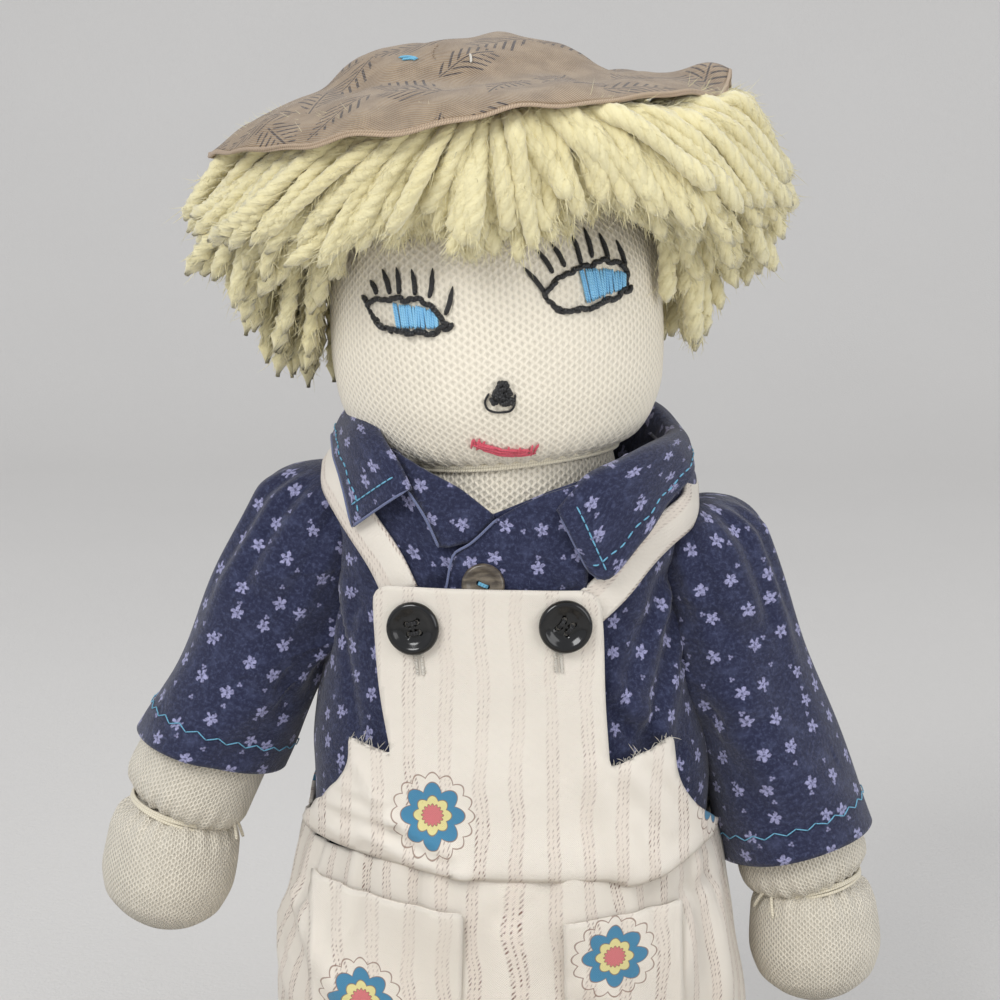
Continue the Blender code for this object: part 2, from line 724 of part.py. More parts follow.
def stuffed_tube(part, side, profile_at, centre, direction):
    """The knit tube of an arm or a leg, open under the tie, and the stuffing inside it."""
    skin = profile_at(0.0) + list(reversed(profile_at(-KNIT)))
    turned(part + "_skin_" + side, skin, centre, direction, "knit")
    filling = profile_at(-KNIT - GAP)
    filling.append((0.0, filling[-1][1] + KNIT))
    turned(part + "_stuffing_" + side, filling, centre, direction, "stuffing")


def end_bulb(part, side, neck_radius, radius, length, opening, centre, direction):
    """A hand or a foot: a stuffed bulb past the tie, dished to turn on the round end of its limb."""
    room = neck_radius + 2 * GAP
    rim = math.sqrt(room ** 2 - opening ** 2) + KNIT
    reach = length - opening

    def outline(outset):
        points = [(rim + outset, opening)]
        for along, swell in BULB_GROWING_SHARES:
            points.append((rim + (radius - rim) * swell + outset, opening + reach * along))
        for along, width in BULB_CLOSING_SHARES:
            points.append((radius * width + outset, opening + (reach + outset) * along))
        return points + [(0.0, length + outset)]

    shell = outline(0.0) + list(reversed(outline(-KNIT)))
    turned(part + "_skin_" + side, shell + shell[:1], centre, direction, "knit")
    inside = outline(-KNIT - GAP)
    spread = math.asin(inside[0][0] / room)
    dish = [(room * math.sin(spread * step / ARC_STEPS), room * math.cos(spread * step / ARC_STEPS))
            for step in range(ARC_STEPS + 1)]
    turned(part + "_stuffing_" + side, dish + inside[1:], centre, direction, "stuffing")


def cloth_tube(name, outer, centre, direction, cap_radius, finish):
    """A sleeve or a trouser leg: a round closed top about the joint, then an open tube."""
    outside = dome(cap_radius) + outer
    inside = dome(cap_radius - CLOTH) + [(radius - CLOTH, distance) for radius, distance in outer]
    return turned(name, outside + list(reversed(inside)), centre, direction, finish)


def seam_stitches(name, centre, axis, limb_radius, stitch_radius):
    """The ring of thread that sews a limb to the body, lying on the limb's round top."""
    reach = limb_radius + GAP + THREAD_RADIUS
    along = math.sqrt(reach ** 2 - stitch_radius ** 2)
    ring(name, centre + axis * along, axis, stitch_radius, THREAD_RADIUS, "cord")


def stitch_hole(name, centre, axis, stitch_radius):
    hole = stitch_radius + THREAD_RADIUS + 2 * GAP
    return turned(name, [(0.0, 0.0), (hole, 0.0), (hole, FAR), (0.0, FAR)], centre, axis, None)


def make_arms():
    for side, (sign, _, lean, length, _, hand_lean) in ARMS.items():
        centre = shoulder_centre(side)
        down = lean_direction(sign, lean)
        inward = Vector((-sign, 0.0, 0.0))

        def arm_profile(outset, length=length):
            return limb_profile(ARM_RADIUS, WRIST_RADIUS, length, outset)

        stuffed_tube("arm", side, arm_profile, centre, down)
        wrist = centre + down * length
        ring("wrist_tie_" + side, wrist, down, WRIST_RADIUS + GAP + CORD_RADIUS, CORD_RADIUS, "cord")
        end_bulb("hand", side, WRIST_RADIUS, HAND_RADIUS, HAND_LENGTH, WRIST_OPENING, wrist,
                 lean_direction(sign, hand_lean))
        cap = sleeve_profile(side)[0][0]
        cloth_tube("shirt_sleeve_" + side, sleeve_profile(side), centre, down, cap, "flannel")
        seam_stitches("shoulder_stitches_" + side, centre, inward, cap, SHOULDER_STITCH_RADIUS)


def leg_profile(outset):
    """A leg tube: a round top that fills its trouser leg, then the narrower stuffed run to the ankle."""
    cap = leg_cap() + outset
    meet = math.acos(LEG_RADIUS / leg_cap())
    turns = [meet * step / ARC_STEPS for step in range(ARC_STEPS + 1)]
    shoulder = [(cap * math.cos(turn), cap * math.sin(turn)) for turn in turns]
    run = limb_profile(LEG_RADIUS, ANKLE_RADIUS, LEG_LENGTH, outset)[ARC_STEPS + 1:]
    return dome(cap) + shoulder + run


def leg_cap():
    return TROUSER_LEG_RADIUS - CLOTH - GAP


def make_legs():
    for side, sign in SIDES.items():
        centre = hip_centre(sign)
        out = leg_direction(sign)
        inward = Vector((-sign * math.cos(LEG_SPLAY), -math.sin(LEG_SPLAY), 0.0))
        stuffed_tube("leg", side, leg_profile, centre, out)
        ankle = centre + out * LEG_LENGTH
        ring("ankle_tie_" + side, ankle, out, ANKLE_RADIUS + GAP + CORD_RADIUS, CORD_RADIUS, "cord")
        toes = out * math.cos(FOOT_LIFT) + Vector((0.0, 0.0, math.sin(FOOT_LIFT)))
        end_bulb("foot", side, ANKLE_RADIUS, FOOT_RADIUS, FOOT_LENGTH, ANKLE_OPENING, ankle, toes)
        seam_stitches("hip_stitches_" + side, centre, inward, leg_cap(), HIP_STITCH_RADIUS)
        straight = [(TROUSER_LEG_RADIUS, 0.0), (TROUSER_LEG_RADIUS, TROUSER_LEG_LENGTH)]
        leg = cloth_tube("trouser_leg_" + side, straight, centre, out, TROUSER_LEG_RADIUS, "overall_cotton")
        cut(leg, [stitch_hole(side + "_trouser_hole", centre, inward, HIP_STITCH_RADIUS)])


def make_shirt(arm_cutters):
    outset = GAP + SHIRT_EASE + CLOTH
    body = lofted("shirt_body", torso_rings(outset, SHIRT_HEM, SHOULDER_TOP), "flannel", open_top=True,
                  open_bottom=True)
    thicken(body, CLOTH)
    front = -BELLY_HALF_DEPTH * SHIRT_FRONT_SHARE
    above = SHOULDER_TOP + SHIRT_NECK_CLEAR
    notch = [Vector((0.0, front, SHOULDER_TOP - SHIRT_NECK_DROP))]
    notch += [Vector((x, front, above)) for x in (SHIRT_NECK_WIDTH, -SHIRT_NECK_WIDTH)]
    opening = prism("neck_opening", notch, Vector((0.0, -1.0, 0.0)), FAR)
    cut(body, arm_cutters + [opening])


def collar_rows(side):
    """Rows of a collar half from the middle of the back round to its point: stand, fold and fall."""
    sign = SIDES[side]
    sweep, point_share, point_fall = COLLARS[side]
    neck_width, neck_depth = [size + GAP + SHIRT_EASE + CLOTH + GAP for size in torso_size(SHOULDER_TOP)]
    rows = []
    for step in range(COLLAR_STEPS + 1):
        share = step / COLLAR_STEPS
        turn = sweep * share
        across = sign * math.sin(turn)
        back = math.cos(turn)
        toward_point = max(0.0, 1.0 - abs(share - point_share) / COLLAR_POINT_SPREAD_SHARE)
        fall = COLLAR_FALL + point_fall * toward_point
        levels = (
            (neck_width, neck_depth, SHOULDER_TOP),
            (COLLAR_HALF_WIDTH, COLLAR_HALF_DEPTH, COLLAR_FOLD),
            (COLLAR_HALF_WIDTH + COLLAR_FLARE, COLLAR_HALF_DEPTH + COLLAR_FLARE, COLLAR_FOLD - fall),
        )
        rows.append([Vector((across * wide + sign * GAP, back * deep, z)) for wide, deep, z in levels])
    return rows


def make_collar():
    for side, sign in SIDES.items():
        rows = collar_rows(side)
        if sign > 0:
            rows.reverse()
        sheet("shirt_collar_" + side, rows, "flannel")


def front_point(size_at, x, z, outset):
    """A point on the front of a garment, at a place across and up, a set distance outside it."""
    half_width, half_depth = size_at(z)
    half_width += outset
    half_depth += outset
    return Vector((x, -half_depth * math.sqrt(1.0 - (x / half_width) ** 2), z))


def front_normal(size_at, x, z, outset):
    half_width, half_depth = size_at(z)
    point = front_point(size_at, x, z, outset)
    return Vector((x / (half_width + outset) ** 2, point.y / (half_depth + outset) ** 2, 0.0)).normalized()


def button(name, radius, thickness, rim, dish, face, normal, finish):
    """A sew-through button: a turned disc with a raised rim and four thread holes."""
    profile = [(0.0, -thickness + dish), (radius - rim, -thickness + dish)]
    profile += [(radius - rim * inward, -thickness * depth) for inward, depth in BUTTON_SECTION_SHARES]
    profile.append((0.0, 0.0))
    made = turned(name, profile, face, -normal, finish, BUTTON_SIDES)
    across = Vector((0.0, 0.0, 1.0)).cross(normal).normalized()
    holes = []
    for at, (right, up) in enumerate(((1, 1), (1, -1), (-1, 1), (-1, -1))):
        spot = face + (across * right + Vector((0.0, 0.0, up))) * THREAD_HOLE_SPACING - normal * OVERRUN
        hole = [(0.0, 0.0), (THREAD_HOLE_RADIUS, 0.0), (THREAD_HOLE_RADIUS, 2 * OVERRUN), (0.0, 2 * OVERRUN)]
        holes.append(turned(name + "_hole_" + str(at), hole, spot, normal, None, THREAD_HOLE_SIDES))
    cut(made, holes)


def panel_outset():
    return GAP + SHIRT_EASE + CLOTH + OVERALL_EASE + CLOTH


def panel_outline(left, right, top, side_reach, corner):
    """Outline of a bib panel: wide sides up to the side top, then the narrow bib with round corners."""
    points = [(-side_reach, WAIST + GAP), (side_reach, WAIST + GAP), (side_reach, SIDE_TOP)]
    points += arc(right + SIDE_NOTCH_RADIUS, SIDE_TOP + SIDE_NOTCH_RADIUS, SIDE_NOTCH_RADIUS, 270, 180)
    points += arc(right - corner, top - corner, corner, 0, 90)
    points += arc(left + corner, top - corner, corner, 90, 180)
    points += arc(left - SIDE_NOTCH_RADIUS, SIDE_TOP + SIDE_NOTCH_RADIUS, SIDE_NOTCH_RADIUS, 0, -90)
    points += [(-side_reach, SIDE_TOP)]
    return points


def arc(middle_x, middle_z, radius, start, end):
    """Points along part of a circle, between two turns in degrees."""
    turns = [math.radians(start + (end - start) * step / ARC_STEPS) for step in range(ARC_STEPS + 1)]
    return [(middle_x + radius * math.cos(a), middle_z + radius * math.sin(a)) for a in turns]


def make_bib(arm_cutters):
    side_reach = HIP_HALF_WIDTH + OVERRUN
    panels = {
        "bib_panel": (-1, BIB_LEFT, BIB_RIGHT, BIB_TOP),
        "back_panel": (1, -BACK_HALF_WIDTH, BACK_HALF_WIDTH, BACK_TOP),
    }
    for name, (sign, left, right, top) in panels.items():
        outline = panel_outline(left, right, top, side_reach, BIB_CORNER)
        tube = lofted(name, torso_rings(panel_outset(), WAIST - OVERRUN, SHOULDER_TOP - OVERRUN / 2),
                      "overall_cotton", open_top=True, open_bottom=True)
        thicken(tube, CLOTH)
        points = [Vector((x, sign * SIDE_SEAM, z)) for x, z in outline]
        shape = prism(name + "_shape", points, Vector((0.0, sign, 0.0)), FAR)
        cut(tube, [shape], "INTERSECT")
        cut(tube, arm_cutters)
    z = BIB_TOP - BIB_BUTTON_DROP
    for side, x in (("left", BIB_LEFT + BIB_BUTTON_INSET), ("right", BIB_RIGHT - BIB_BUTTON_INSET)):
        outset = panel_outset() + GAP
        normal = front_normal(torso_size, x, z, outset)
        face = front_point(torso_size, x, z, outset)
        button("bib_button_" + side, BIB_BUTTON_RADIUS, BIB_BUTTON_THICKNESS, BIB_BUTTON_RIM,
               BIB_BUTTON_DISH, face, normal, "black_button")


def make_shirt_button():
    outset = GAP + SHIRT_EASE + CLOTH + GAP
    z = BIB_TOP + SHIRT_BUTTON_ABOVE_BIB
    normal = front_normal(torso_size, SHIRT_BUTTON_X, z, outset)
    face = front_point(torso_size, SHIRT_BUTTON_X, z, outset)
    button("shirt_button", SHIRT_BUTTON_RADIUS, SHIRT_BUTTON_THICKNESS, SHIRT_BUTTON_RIM,
           SHIRT_BUTTON_DISH, face, normal, "brown_button")


def make_trousers(body_cutters):
    rings = []
    for share, _, _ in TROUSER_SECTION_SHARES:
        half_width, half_depth = trouser_size(share * WAIST)
        rings.append(ellipse(Vector((0.0, 0.0, share * WAIST)), half_width, half_depth, TORSO_SIDES))
    seat = lofted("trousers_seat", rings, "overall_cotton", open_top=True)
    thicken(seat, CLOTH)
    cut(seat, body_cutters)
    for side, (left, right) in POCKETS.items():
        rows = []
        for up in range(POCKET_ROWS + 1):
            z = POCKET_BOTTOM + (POCKET_TOP - POCKET_BOTTOM) * up / POCKET_ROWS
            row = []
            for step in range(POCKET_COLUMNS + 1):
                x = left + (right - left) * step / POCKET_COLUMNS
                row.append(front_point(trouser_size, x, z, 2 * GAP))
            rows.append(row)
        sheet("pocket_" + side, rows, "overall_cotton")


def strap_edge(front_x, back_x, shoulder_x):
    """One edge of a strap: from the bib's top over the shoulder and down to the back panel's top."""
    outset = panel_outset() + GAP + STRAP_EASE
    points = []
    for x, rise_from, face in ((front_x, BIB_TOP + GAP, -1), (back_x, BACK_TOP + GAP, 1)):
        start = abs(front_point(torso_size, x, rise_from, outset).y)
        run = []
        for step in range(STRAP_STEPS + 1):
            turn = math.pi / 2 * step / STRAP_STEPS
            across = x + (shoulder_x - x) * math.sin(turn) ** 2
            away = face * start * max(math.cos(turn), 0.0) ** STRAP_ROUNDING_SHARE
            run.append(Vector((across, away, rise_from + (STRAP_TOP - rise_from) * math.sin(turn))))
        points += run if face < 0 else list(reversed(run[:-1]))
    return points


def make_straps():
    starts = {"left": BIB_LEFT + STRAP_WIDTH / 2 + GAP, "right": BIB_RIGHT - STRAP_WIDTH / 2 - GAP}
    for side, sign in SIDES.items():
        back = sign * (BACK_HALF_WIDTH - STRAP_WIDTH / 2 - GAP)
        rows = [strap_edge(starts[side] + half, back + half, sign * STRAP_X + half)
                for half in (-STRAP_WIDTH / 2, STRAP_WIDTH / 2)]
        sheet("strap_" + side, rows, "overall_cotton")


def hang_on_joint(name, centre, pieces):
    """Parent the pieces that move together to an empty on the axis of the joint that moves them."""
    joint = bpy.data.objects.new(name, None)
    joint.location = centre
    bpy.data.collections[DOLL].objects.link(joint)
    for piece in pieces:
        piece.parent = joint
        piece.matrix_parent_inverse = Matrix.Translation(-centre)


def hang_on_joints():
    pieces = [piece for piece in bpy.data.collections[DOLL].objects if piece.type == "MESH"]
    head = [piece for piece in pieces if piece.name.startswith(HEAD_PIECES)]
    hang_on_joint("neck_joint", NECK_PIVOT, head)
    for side, sign in SIDES.items():
        lean, length = ARMS[side][2:4]
        wrist = shoulder_centre(side) + lean_direction(sign, lean) * length
        ankle = hip_centre(sign) + leg_direction(sign) * LEG_LENGTH
        centres = (shoulder_centre(side), wrist, hip_centre(sign), ankle)
        sided = [piece for piece in pieces if piece.name.endswith(side)]
        for (joint, starts), centre in zip(LIMB_PIECES.items(), centres):
            moved = [piece for piece in sided if piece.name.startswith(starts)]
            hang_on_joint(joint + "_" + side, centre, moved)


def main():
    clear_scene()
    arm_cutters = [arm_sweep(side) for side in ARMS]
    body_cutters = leg_cutters("left") + leg_cutters("right")
    make_torso(arm_cutters + body_cutters)
    make_neck()
    make_head()
    make_face()
    make_hair()
    make_hat()
    make_arms()
    make_legs()
    make_shirt(arm_cutters)
    make_collar()
    make_bib(arm_cutters)
    make_shirt_button()
    make_trousers(body_cutters)
    make_straps()
    hang_on_joints()


main()
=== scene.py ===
import math

import bpy
import numpy as np
from mathutils import Matrix, Vector
from mathutils.bvhtree import BVHTree


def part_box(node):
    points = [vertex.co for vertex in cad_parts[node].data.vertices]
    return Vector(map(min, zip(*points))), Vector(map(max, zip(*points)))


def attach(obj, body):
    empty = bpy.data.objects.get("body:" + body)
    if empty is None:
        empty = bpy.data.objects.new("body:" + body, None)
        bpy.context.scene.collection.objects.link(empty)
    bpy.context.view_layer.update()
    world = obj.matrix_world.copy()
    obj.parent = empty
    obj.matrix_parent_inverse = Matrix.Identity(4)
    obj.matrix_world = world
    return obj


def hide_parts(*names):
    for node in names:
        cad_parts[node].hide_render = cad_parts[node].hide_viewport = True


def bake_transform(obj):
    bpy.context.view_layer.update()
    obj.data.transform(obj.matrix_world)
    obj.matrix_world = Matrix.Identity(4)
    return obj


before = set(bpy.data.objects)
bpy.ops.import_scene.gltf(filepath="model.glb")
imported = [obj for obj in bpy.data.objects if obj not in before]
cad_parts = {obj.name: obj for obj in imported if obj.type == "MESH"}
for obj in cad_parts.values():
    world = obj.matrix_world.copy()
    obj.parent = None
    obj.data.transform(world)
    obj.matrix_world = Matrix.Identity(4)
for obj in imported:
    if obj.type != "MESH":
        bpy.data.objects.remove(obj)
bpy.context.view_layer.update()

# All lengths are metres. The doll faces -Y, left is -X, and the origin is under its seat.
SIDES = {"left": -1, "right": 1}
UP = np.array((0.0, 0.0, 1.0))
FRONT = np.array((0.0, -1.0, 0.0))

# Camera, as the photograph was taken
CAMERA_PLACE = (-0.004, -0.985, 0.454)
CAMERA_DOWN = math.radians(10)
CAMERA_ANGLE = math.radians(22.62)
PICTURE = 1000


# ---------------------------------------------------------------- numbers and curves

def smooth_curve(stops, values, at):
    """A smooth line through values at stops that doesn't overshoot."""
    stops = np.asarray(stops, float)
    values = np.asarray(values, float)
    at = np.asarray(at, float)
    steps = np.diff(stops)
    slopes = np.diff(values) / steps
    lean = np.zeros_like(values)
    same = slopes[:-1] * slopes[1:] > 0
    lean[1:-1][same] = 2 * slopes[:-1][same] * slopes[1:][same] / (slopes[:-1] + slopes[1:])[same]
    lean[0] = slopes[0]
    lean[-1] = slopes[-1]
    i = np.clip(np.searchsorted(stops, at) - 1, 0, len(stops) - 2)
    t = np.clip((at - stops[i]) / steps[i], 0, 1)
    a = values[i] * (1 + 2 * t) * (1 - t) ** 2 + steps[i] * lean[i] * t * (1 - t) ** 2
    b = values[i + 1] * (3 - 2 * t) * t ** 2 - steps[i] * lean[i + 1] * (1 - t) * t ** 2
    return a + b


def from_table(table, at, column):
    """A column of a table at places of its first column."""
    rows = sorted(table)
    return smooth_curve([r[0] for r in rows], [r[column] for r in rows], at)


def lengths_along(line):
    """How far along a line each of its points is."""
    return np.concatenate([[0], np.cumsum(np.linalg.norm(np.diff(line, axis=0), axis=1))])


def through(points, count):
    """count points evenly spaced on a smooth line through points."""
    points = np.asarray(points, float)
    marks = lengths_along(points)
    fine = np.linspace(0, marks[-1], max(8 * len(points), 4 * count))
    line = np.stack([smooth_curve(marks, column, fine) for column in points.T], 1)
    along = lengths_along(line)
    even = np.linspace(0, along[-1], count)
    return np.stack([np.interp(even, along, column) for column in line.T], 1)


def unit(v):
    v = np.asarray(v, float)
    return v / np.maximum(np.linalg.norm(v, axis=-1, keepdims=True), 1e-12)


def ease(low, high, x):
    t = np.clip((np.asarray(x, float) - low) / (high - low), 0, 1)
    return t * t * (3 - 2 * t)


def waves(points, size, seed, count=7):
    """A smooth random height from about -1 to 1 at each point, whose bumps are about size across."""
    draw = np.random.default_rng(seed)
    total = np.zeros(points.shape[:-1])
    for _ in range(count):
        direction = unit(draw.normal(size=3)) * draw.uniform(0.6, 1.6) * math.pi / size
        total = total + np.sin(points @ direction + draw.uniform(0, math.tau))
    return total / math.sqrt(count)


def stand(cloth, matrix):
    """Puts a cloth made about the upright axis in its place, its outside still outside."""
    cloth.points = placed(cloth.points, matrix)
    if matrix.determinant() < 0:
        cloth.points = cloth.points[:, ::-1]


def frame_matrix(place, angle_y):
    return Matrix.Translation(place) @ Matrix.Rotation(angle_y, 4, "Y")


def placed(points, matrix):
    m = np.array(matrix)
    return np.asarray(points) @ m[:3, :3].T + m[:3, 3]


def sight(px, py):
    """The camera's place, and the direction of a point of the picture."""
    half = math.tan(CAMERA_ANGLE / 2)
    across = float(px / PICTURE - 0.5) * 2 * half
    rise = float(0.5 - py / PICTURE) * 2 * half
    ahead = Vector((0, math.cos(CAMERA_DOWN), -math.sin(CAMERA_DOWN)))
    top = Vector((0, math.sin(CAMERA_DOWN), math.cos(CAMERA_DOWN)))
    return Vector(CAMERA_PLACE), (ahead + across * Vector((1, 0, 0)) + rise * top).normalized()


def at_depth(px, py, y):
    """The point of the picture on the upright plane at y."""
    start, way = sight(px, py)
    return np.array(start + way * ((y - start.y) / way.y))


class Ground:
    """A finished surface that stitches and patches are laid on."""

    def __init__(self, *objects):
        points = []
        faces = []
        for o in objects:
            first = len(points)
            points += [v.co.copy() for v in o.data.vertices]
            faces += [[first + i for i in p.vertices] for p in o.data.polygons]
        self.tree = BVHTree.FromPolygons(points, faces)

    def met(self, start, way):
        """The first place that lies this way from start, and how the surface faces there, towards start."""
        place, normal, _, _ = self.tree.ray_cast(start, way)
        if place is None:
            raise ValueError(f"nothing lies that way from {tuple(start)}")
        return place, -normal if normal.dot(way) > 0 else normal

    def seen(self, px, py, lift=0.0):
        """The place behind a point of the picture."""
        place, normal = self.met(*sight(px, py))
        return np.array(place + normal * lift)

    def nearest(self, point, lift=0.0):
        place, normal, _, _ = self.tree.find_nearest(Vector(point))
        return np.array(place + normal * lift)


# ---------------------------------------------------------------- meshes

THREAD_MAP_STEP = 0.002
FIBRE_SHARES = (1, 0.95, 0.7, 0.15)
FIBRE_SLANT = (0.31, 0.52, 0.79)
PLY_SQUEEZE_SHARE = 0.86
EDGE_SOFT = 0.0003
def link(name, mesh):
    thing = bpy.data.objects.new(name, mesh)
    bpy.context.scene.collection.objects.link(thing)
    return thing


def mesh_piece(name, points, faces, uv=None, shade=None, smooth=True):
    """An object from arrays. uv maps a map's name to one pair of numbers per face corner."""
    mesh = bpy.data.meshes.new(name)
    mesh.from_pydata([tuple(p) for p in points], [], [tuple(int(i) for i in f) for f in faces])
    for key, values in (uv or {}).items():
        layer = mesh.uv_layers.new(name=key)
        layer.uv.foreach_set("vector", np.asarray(values, np.float32).ravel())
    if shade is not None:
        attribute = mesh.attributes.new("shade", "FLOAT", "POINT")
        attribute.data.foreach_set("value", np.asarray(shade, np.float32))
    mesh.polygons.foreach_set("use_smooth", [smooth] * len(mesh.polygons))
    mesh.update()
    return link(name, mesh)


def grid_faces(rows, columns, wrap):
    """Faces of a grid, and for each face corner its row and its column, which isn't wrapped."""
    last = columns if wrap else columns - 1
    r, c = np.meshgrid(np.arange(rows - 1), np.arange(last), indexing="ij")
    r = r.ravel()
    c = c.ravel()
    corner_rows = np.stack([r, r, r + 1, r + 1], 1)
    corner_columns = np.stack([c, c + 1, c + 1, c], 1)
    faces = corner_rows * columns + corner_columns % columns
    return faces, corner_rows, corner_columns


class Cloth:
    """A grid of points, rows by columns, which becomes a piece and can be asked for its places."""

    def __init__(self, points, wrap=False):
        self.points = np.asarray(points, float)
        self.wrap = wrap

    def normals(self):
        p = self.points
        if self.wrap:
            du = np.roll(p, -1, 1) - np.roll(p, 1, 1)
        else:
            du = np.gradient(p, axis=1)
        dv = np.gradient(p, axis=0)
        return unit(np.cross(du, dv))

    def push(self, height):
        self.points = self.points + self.normals() * np.asarray(height)[..., None]
        return self

    def ruffle(self, height, size, seed, share=1):
        """Smooth random lumps, about size across."""
        return self.push(height * waves(self.points, size, seed) * share)

    def creases(self, folds, valley=0.5):
        """Raises soft folds, each from a start to an end through space, with a hollow beside it."""
        for start, end, width, depth in folds:
            start = np.asarray(start, float)
            line = np.asarray(end, float) - start
            share = np.clip(((self.points - start) @ line) / (line @ line), 0, 1)
            apart = self.points - (start + share[..., None] * line)
            far = np.linalg.norm(apart, axis=-1)
            side = np.sign(apart @ np.cross(line, FRONT))
            body = np.exp(-(far / width) ** 2)
            hollow = np.exp(-((far * side - 1.6 * width) / width) ** 2)
            fade = np.clip(1.15 - 0.5 * share, 0, 1) * ease(3.5 * width, 2 * width, far)
            reach = np.exp(-(np.maximum(far - 2.5 * width, 0) / width) ** 2)
            self.push(depth * (body - valley * hollow * reach) * fade)

    def at(self, row, column, lift=0.0):
        """Places on the grid by fractions of rows and columns."""
        rows, columns = self.points.shape[:2]
        row = np.clip(np.asarray(row, float), 0, rows - 1)
        column = np.asarray(column, float)
        normals = self.normals()
        r = np.minimum(row.astype(int), rows - 2)
        c = np.floor(column).astype(int)
        if not self.wrap:
            c = np.clip(c, 0, columns - 2)
        u = (column - c)[..., None]
        v = (row - r)[..., None]
        total = 0
        for dr, wr in ((0, 1 - v), (1, v)):
            for dc, wc in ((0, 1 - u), (1, u)):
                k = (c + dc) % columns if self.wrap else c + dc
                total = total + wr * wc * (self.points[r + dr, k] + lift * normals[r + dr, k])
        return total

    def piece(self, name, maps, ends=(False, False)):
        """maps gives, for each map's name, the u and v of a row and a column; ends are closed by a fan."""
        rows, columns = self.points.shape[:2]
        faces, r, c = grid_faces(rows, columns, self.wrap)
        faces = [tuple(f) for f in faces]
        points = [tuple(p) for p in self.points.reshape(-1, 3)]
        corners = {key: [np.stack(rule(r, c), -1).reshape(-1, 2)] for key, rule in maps.items()}
        for end, wanted in zip((0, rows - 1), ends):
            if not wanted:
                continue
            centre = len(points)
            points.append(tuple(self.points[end].mean(0)))
            for i in range(columns):
                rim = [i + 1, i]
                if end:
                    rim.reverse()
                faces.append((*(end * columns + k % columns for k in rim), centre))
                for key, rule in maps.items():
                    corners[key].append(np.array([rule(float(end), float(k)) for k in (*rim, i + 0.5)]))
        return mesh_piece(name, points, faces, {k: np.concatenate(v) for k, v in corners.items()})


def apply_all(piece):
    """Puts every modifier of a piece into its mesh."""
    bpy.context.view_layer.update()
    graph = bpy.context.evaluated_depsgraph_get()
    made = bpy.data.meshes.new_from_object(piece.evaluated_get(graph))
    old = piece.data
    piece.modifiers.clear()
    piece.data = made
    bpy.data.meshes.remove(old)
    made.name = piece.name


def thicken(piece, thick, inward=True):
    solid = piece.modifiers.new("thickness", "SOLIDIFY")
    solid.thickness = thick
    solid.offset = -1 if inward else 1
    solid.use_even_offset = False
    apply_all(piece)


def frames_along(path):
    """Direction and two square directions at each point, turning as little as they can."""
    path = np.asarray(path, float)
    ahead = unit(np.gradient(path, axis=0))
    first = np.cross(ahead[0], UP if abs(ahead[0] @ UP) < 0.9 else np.array((1.0, 0, 0)))
    side = np.zeros_like(path)
    side[0] = unit(first)
    for i in range(1, len(path)):
        s = side[i - 1] - ahead[i] * (side[i - 1] @ ahead[i])
        side[i] = unit(s)
    return ahead, side, np.cross(ahead, side)


def tubes(name, lines, radius, around=6, shades=None, tips=0.35, lobes=None):
    """One object of round threads along lines. radius is a number, or one per line or point."""
    turn = np.arange(around) * math.tau / around
    points = []
    faces = []
    uvs = []
    shade = []
    first = 0
    for n, line in enumerate(lines):
        line = np.asarray(line, float)
        count = len(line)
        _, side, other = frames_along(line)
        r = radius[n] if isinstance(radius, (list, tuple)) else radius
        r = np.broadcast_to(np.asarray(r, float), (count,)).copy()
        r[[0, -1]] *= tips
        along = lengths_along(line)
        turns = turn[None, :] + 0 * along[:, None]
        swell = 1
        if lobes:
            plies, depth, pitch = lobes
            swell = (1 - depth + depth * np.abs(np.cos(turn * plies / 2)))[None, :, None]
            turns = turns + (math.tau * along / pitch)[:, None]
        cos, sin = np.cos(turns)[:, :, None], np.sin(turns)[:, :, None]
        ring = swell * (cos * side[:, None, :] + sin * other[:, None, :])
        points += [(line[:, None, :] + r[:, None, None] * ring).reshape(-1, 3), line[[0, -1]]]
        quads, rr, cc = grid_faces(count, around, True)
        faces += [tuple(first + int(i) for i in reversed(f)) for f in quads]
        uvs.append(np.stack([cc / around, along[rr] / THREAD_MAP_STEP], -1)[:, ::-1].reshape(-1, 2))
        start = first + count * around
        for i in range(around):
            j = (i + 1) % around
            faces.append((first + i, first + j, start))
            faces.append((start - around + j, start - around + i, start + 1))
            uvs.append(np.array([(i / around, 0), ((i + 1) / around, 0), (0.5, 0)] * 2))
        tone = np.broadcast_to(0.5 if shades is None else shades[n], (count,))
        shade.append(np.concatenate([np.repeat(tone, around), tone[[0, -1]]]))
        first = start + 2
    maps = {"thread": np.concatenate(uvs)}
    return mesh_piece(name, np.concatenate(points), faces, maps, np.concatenate(shade))


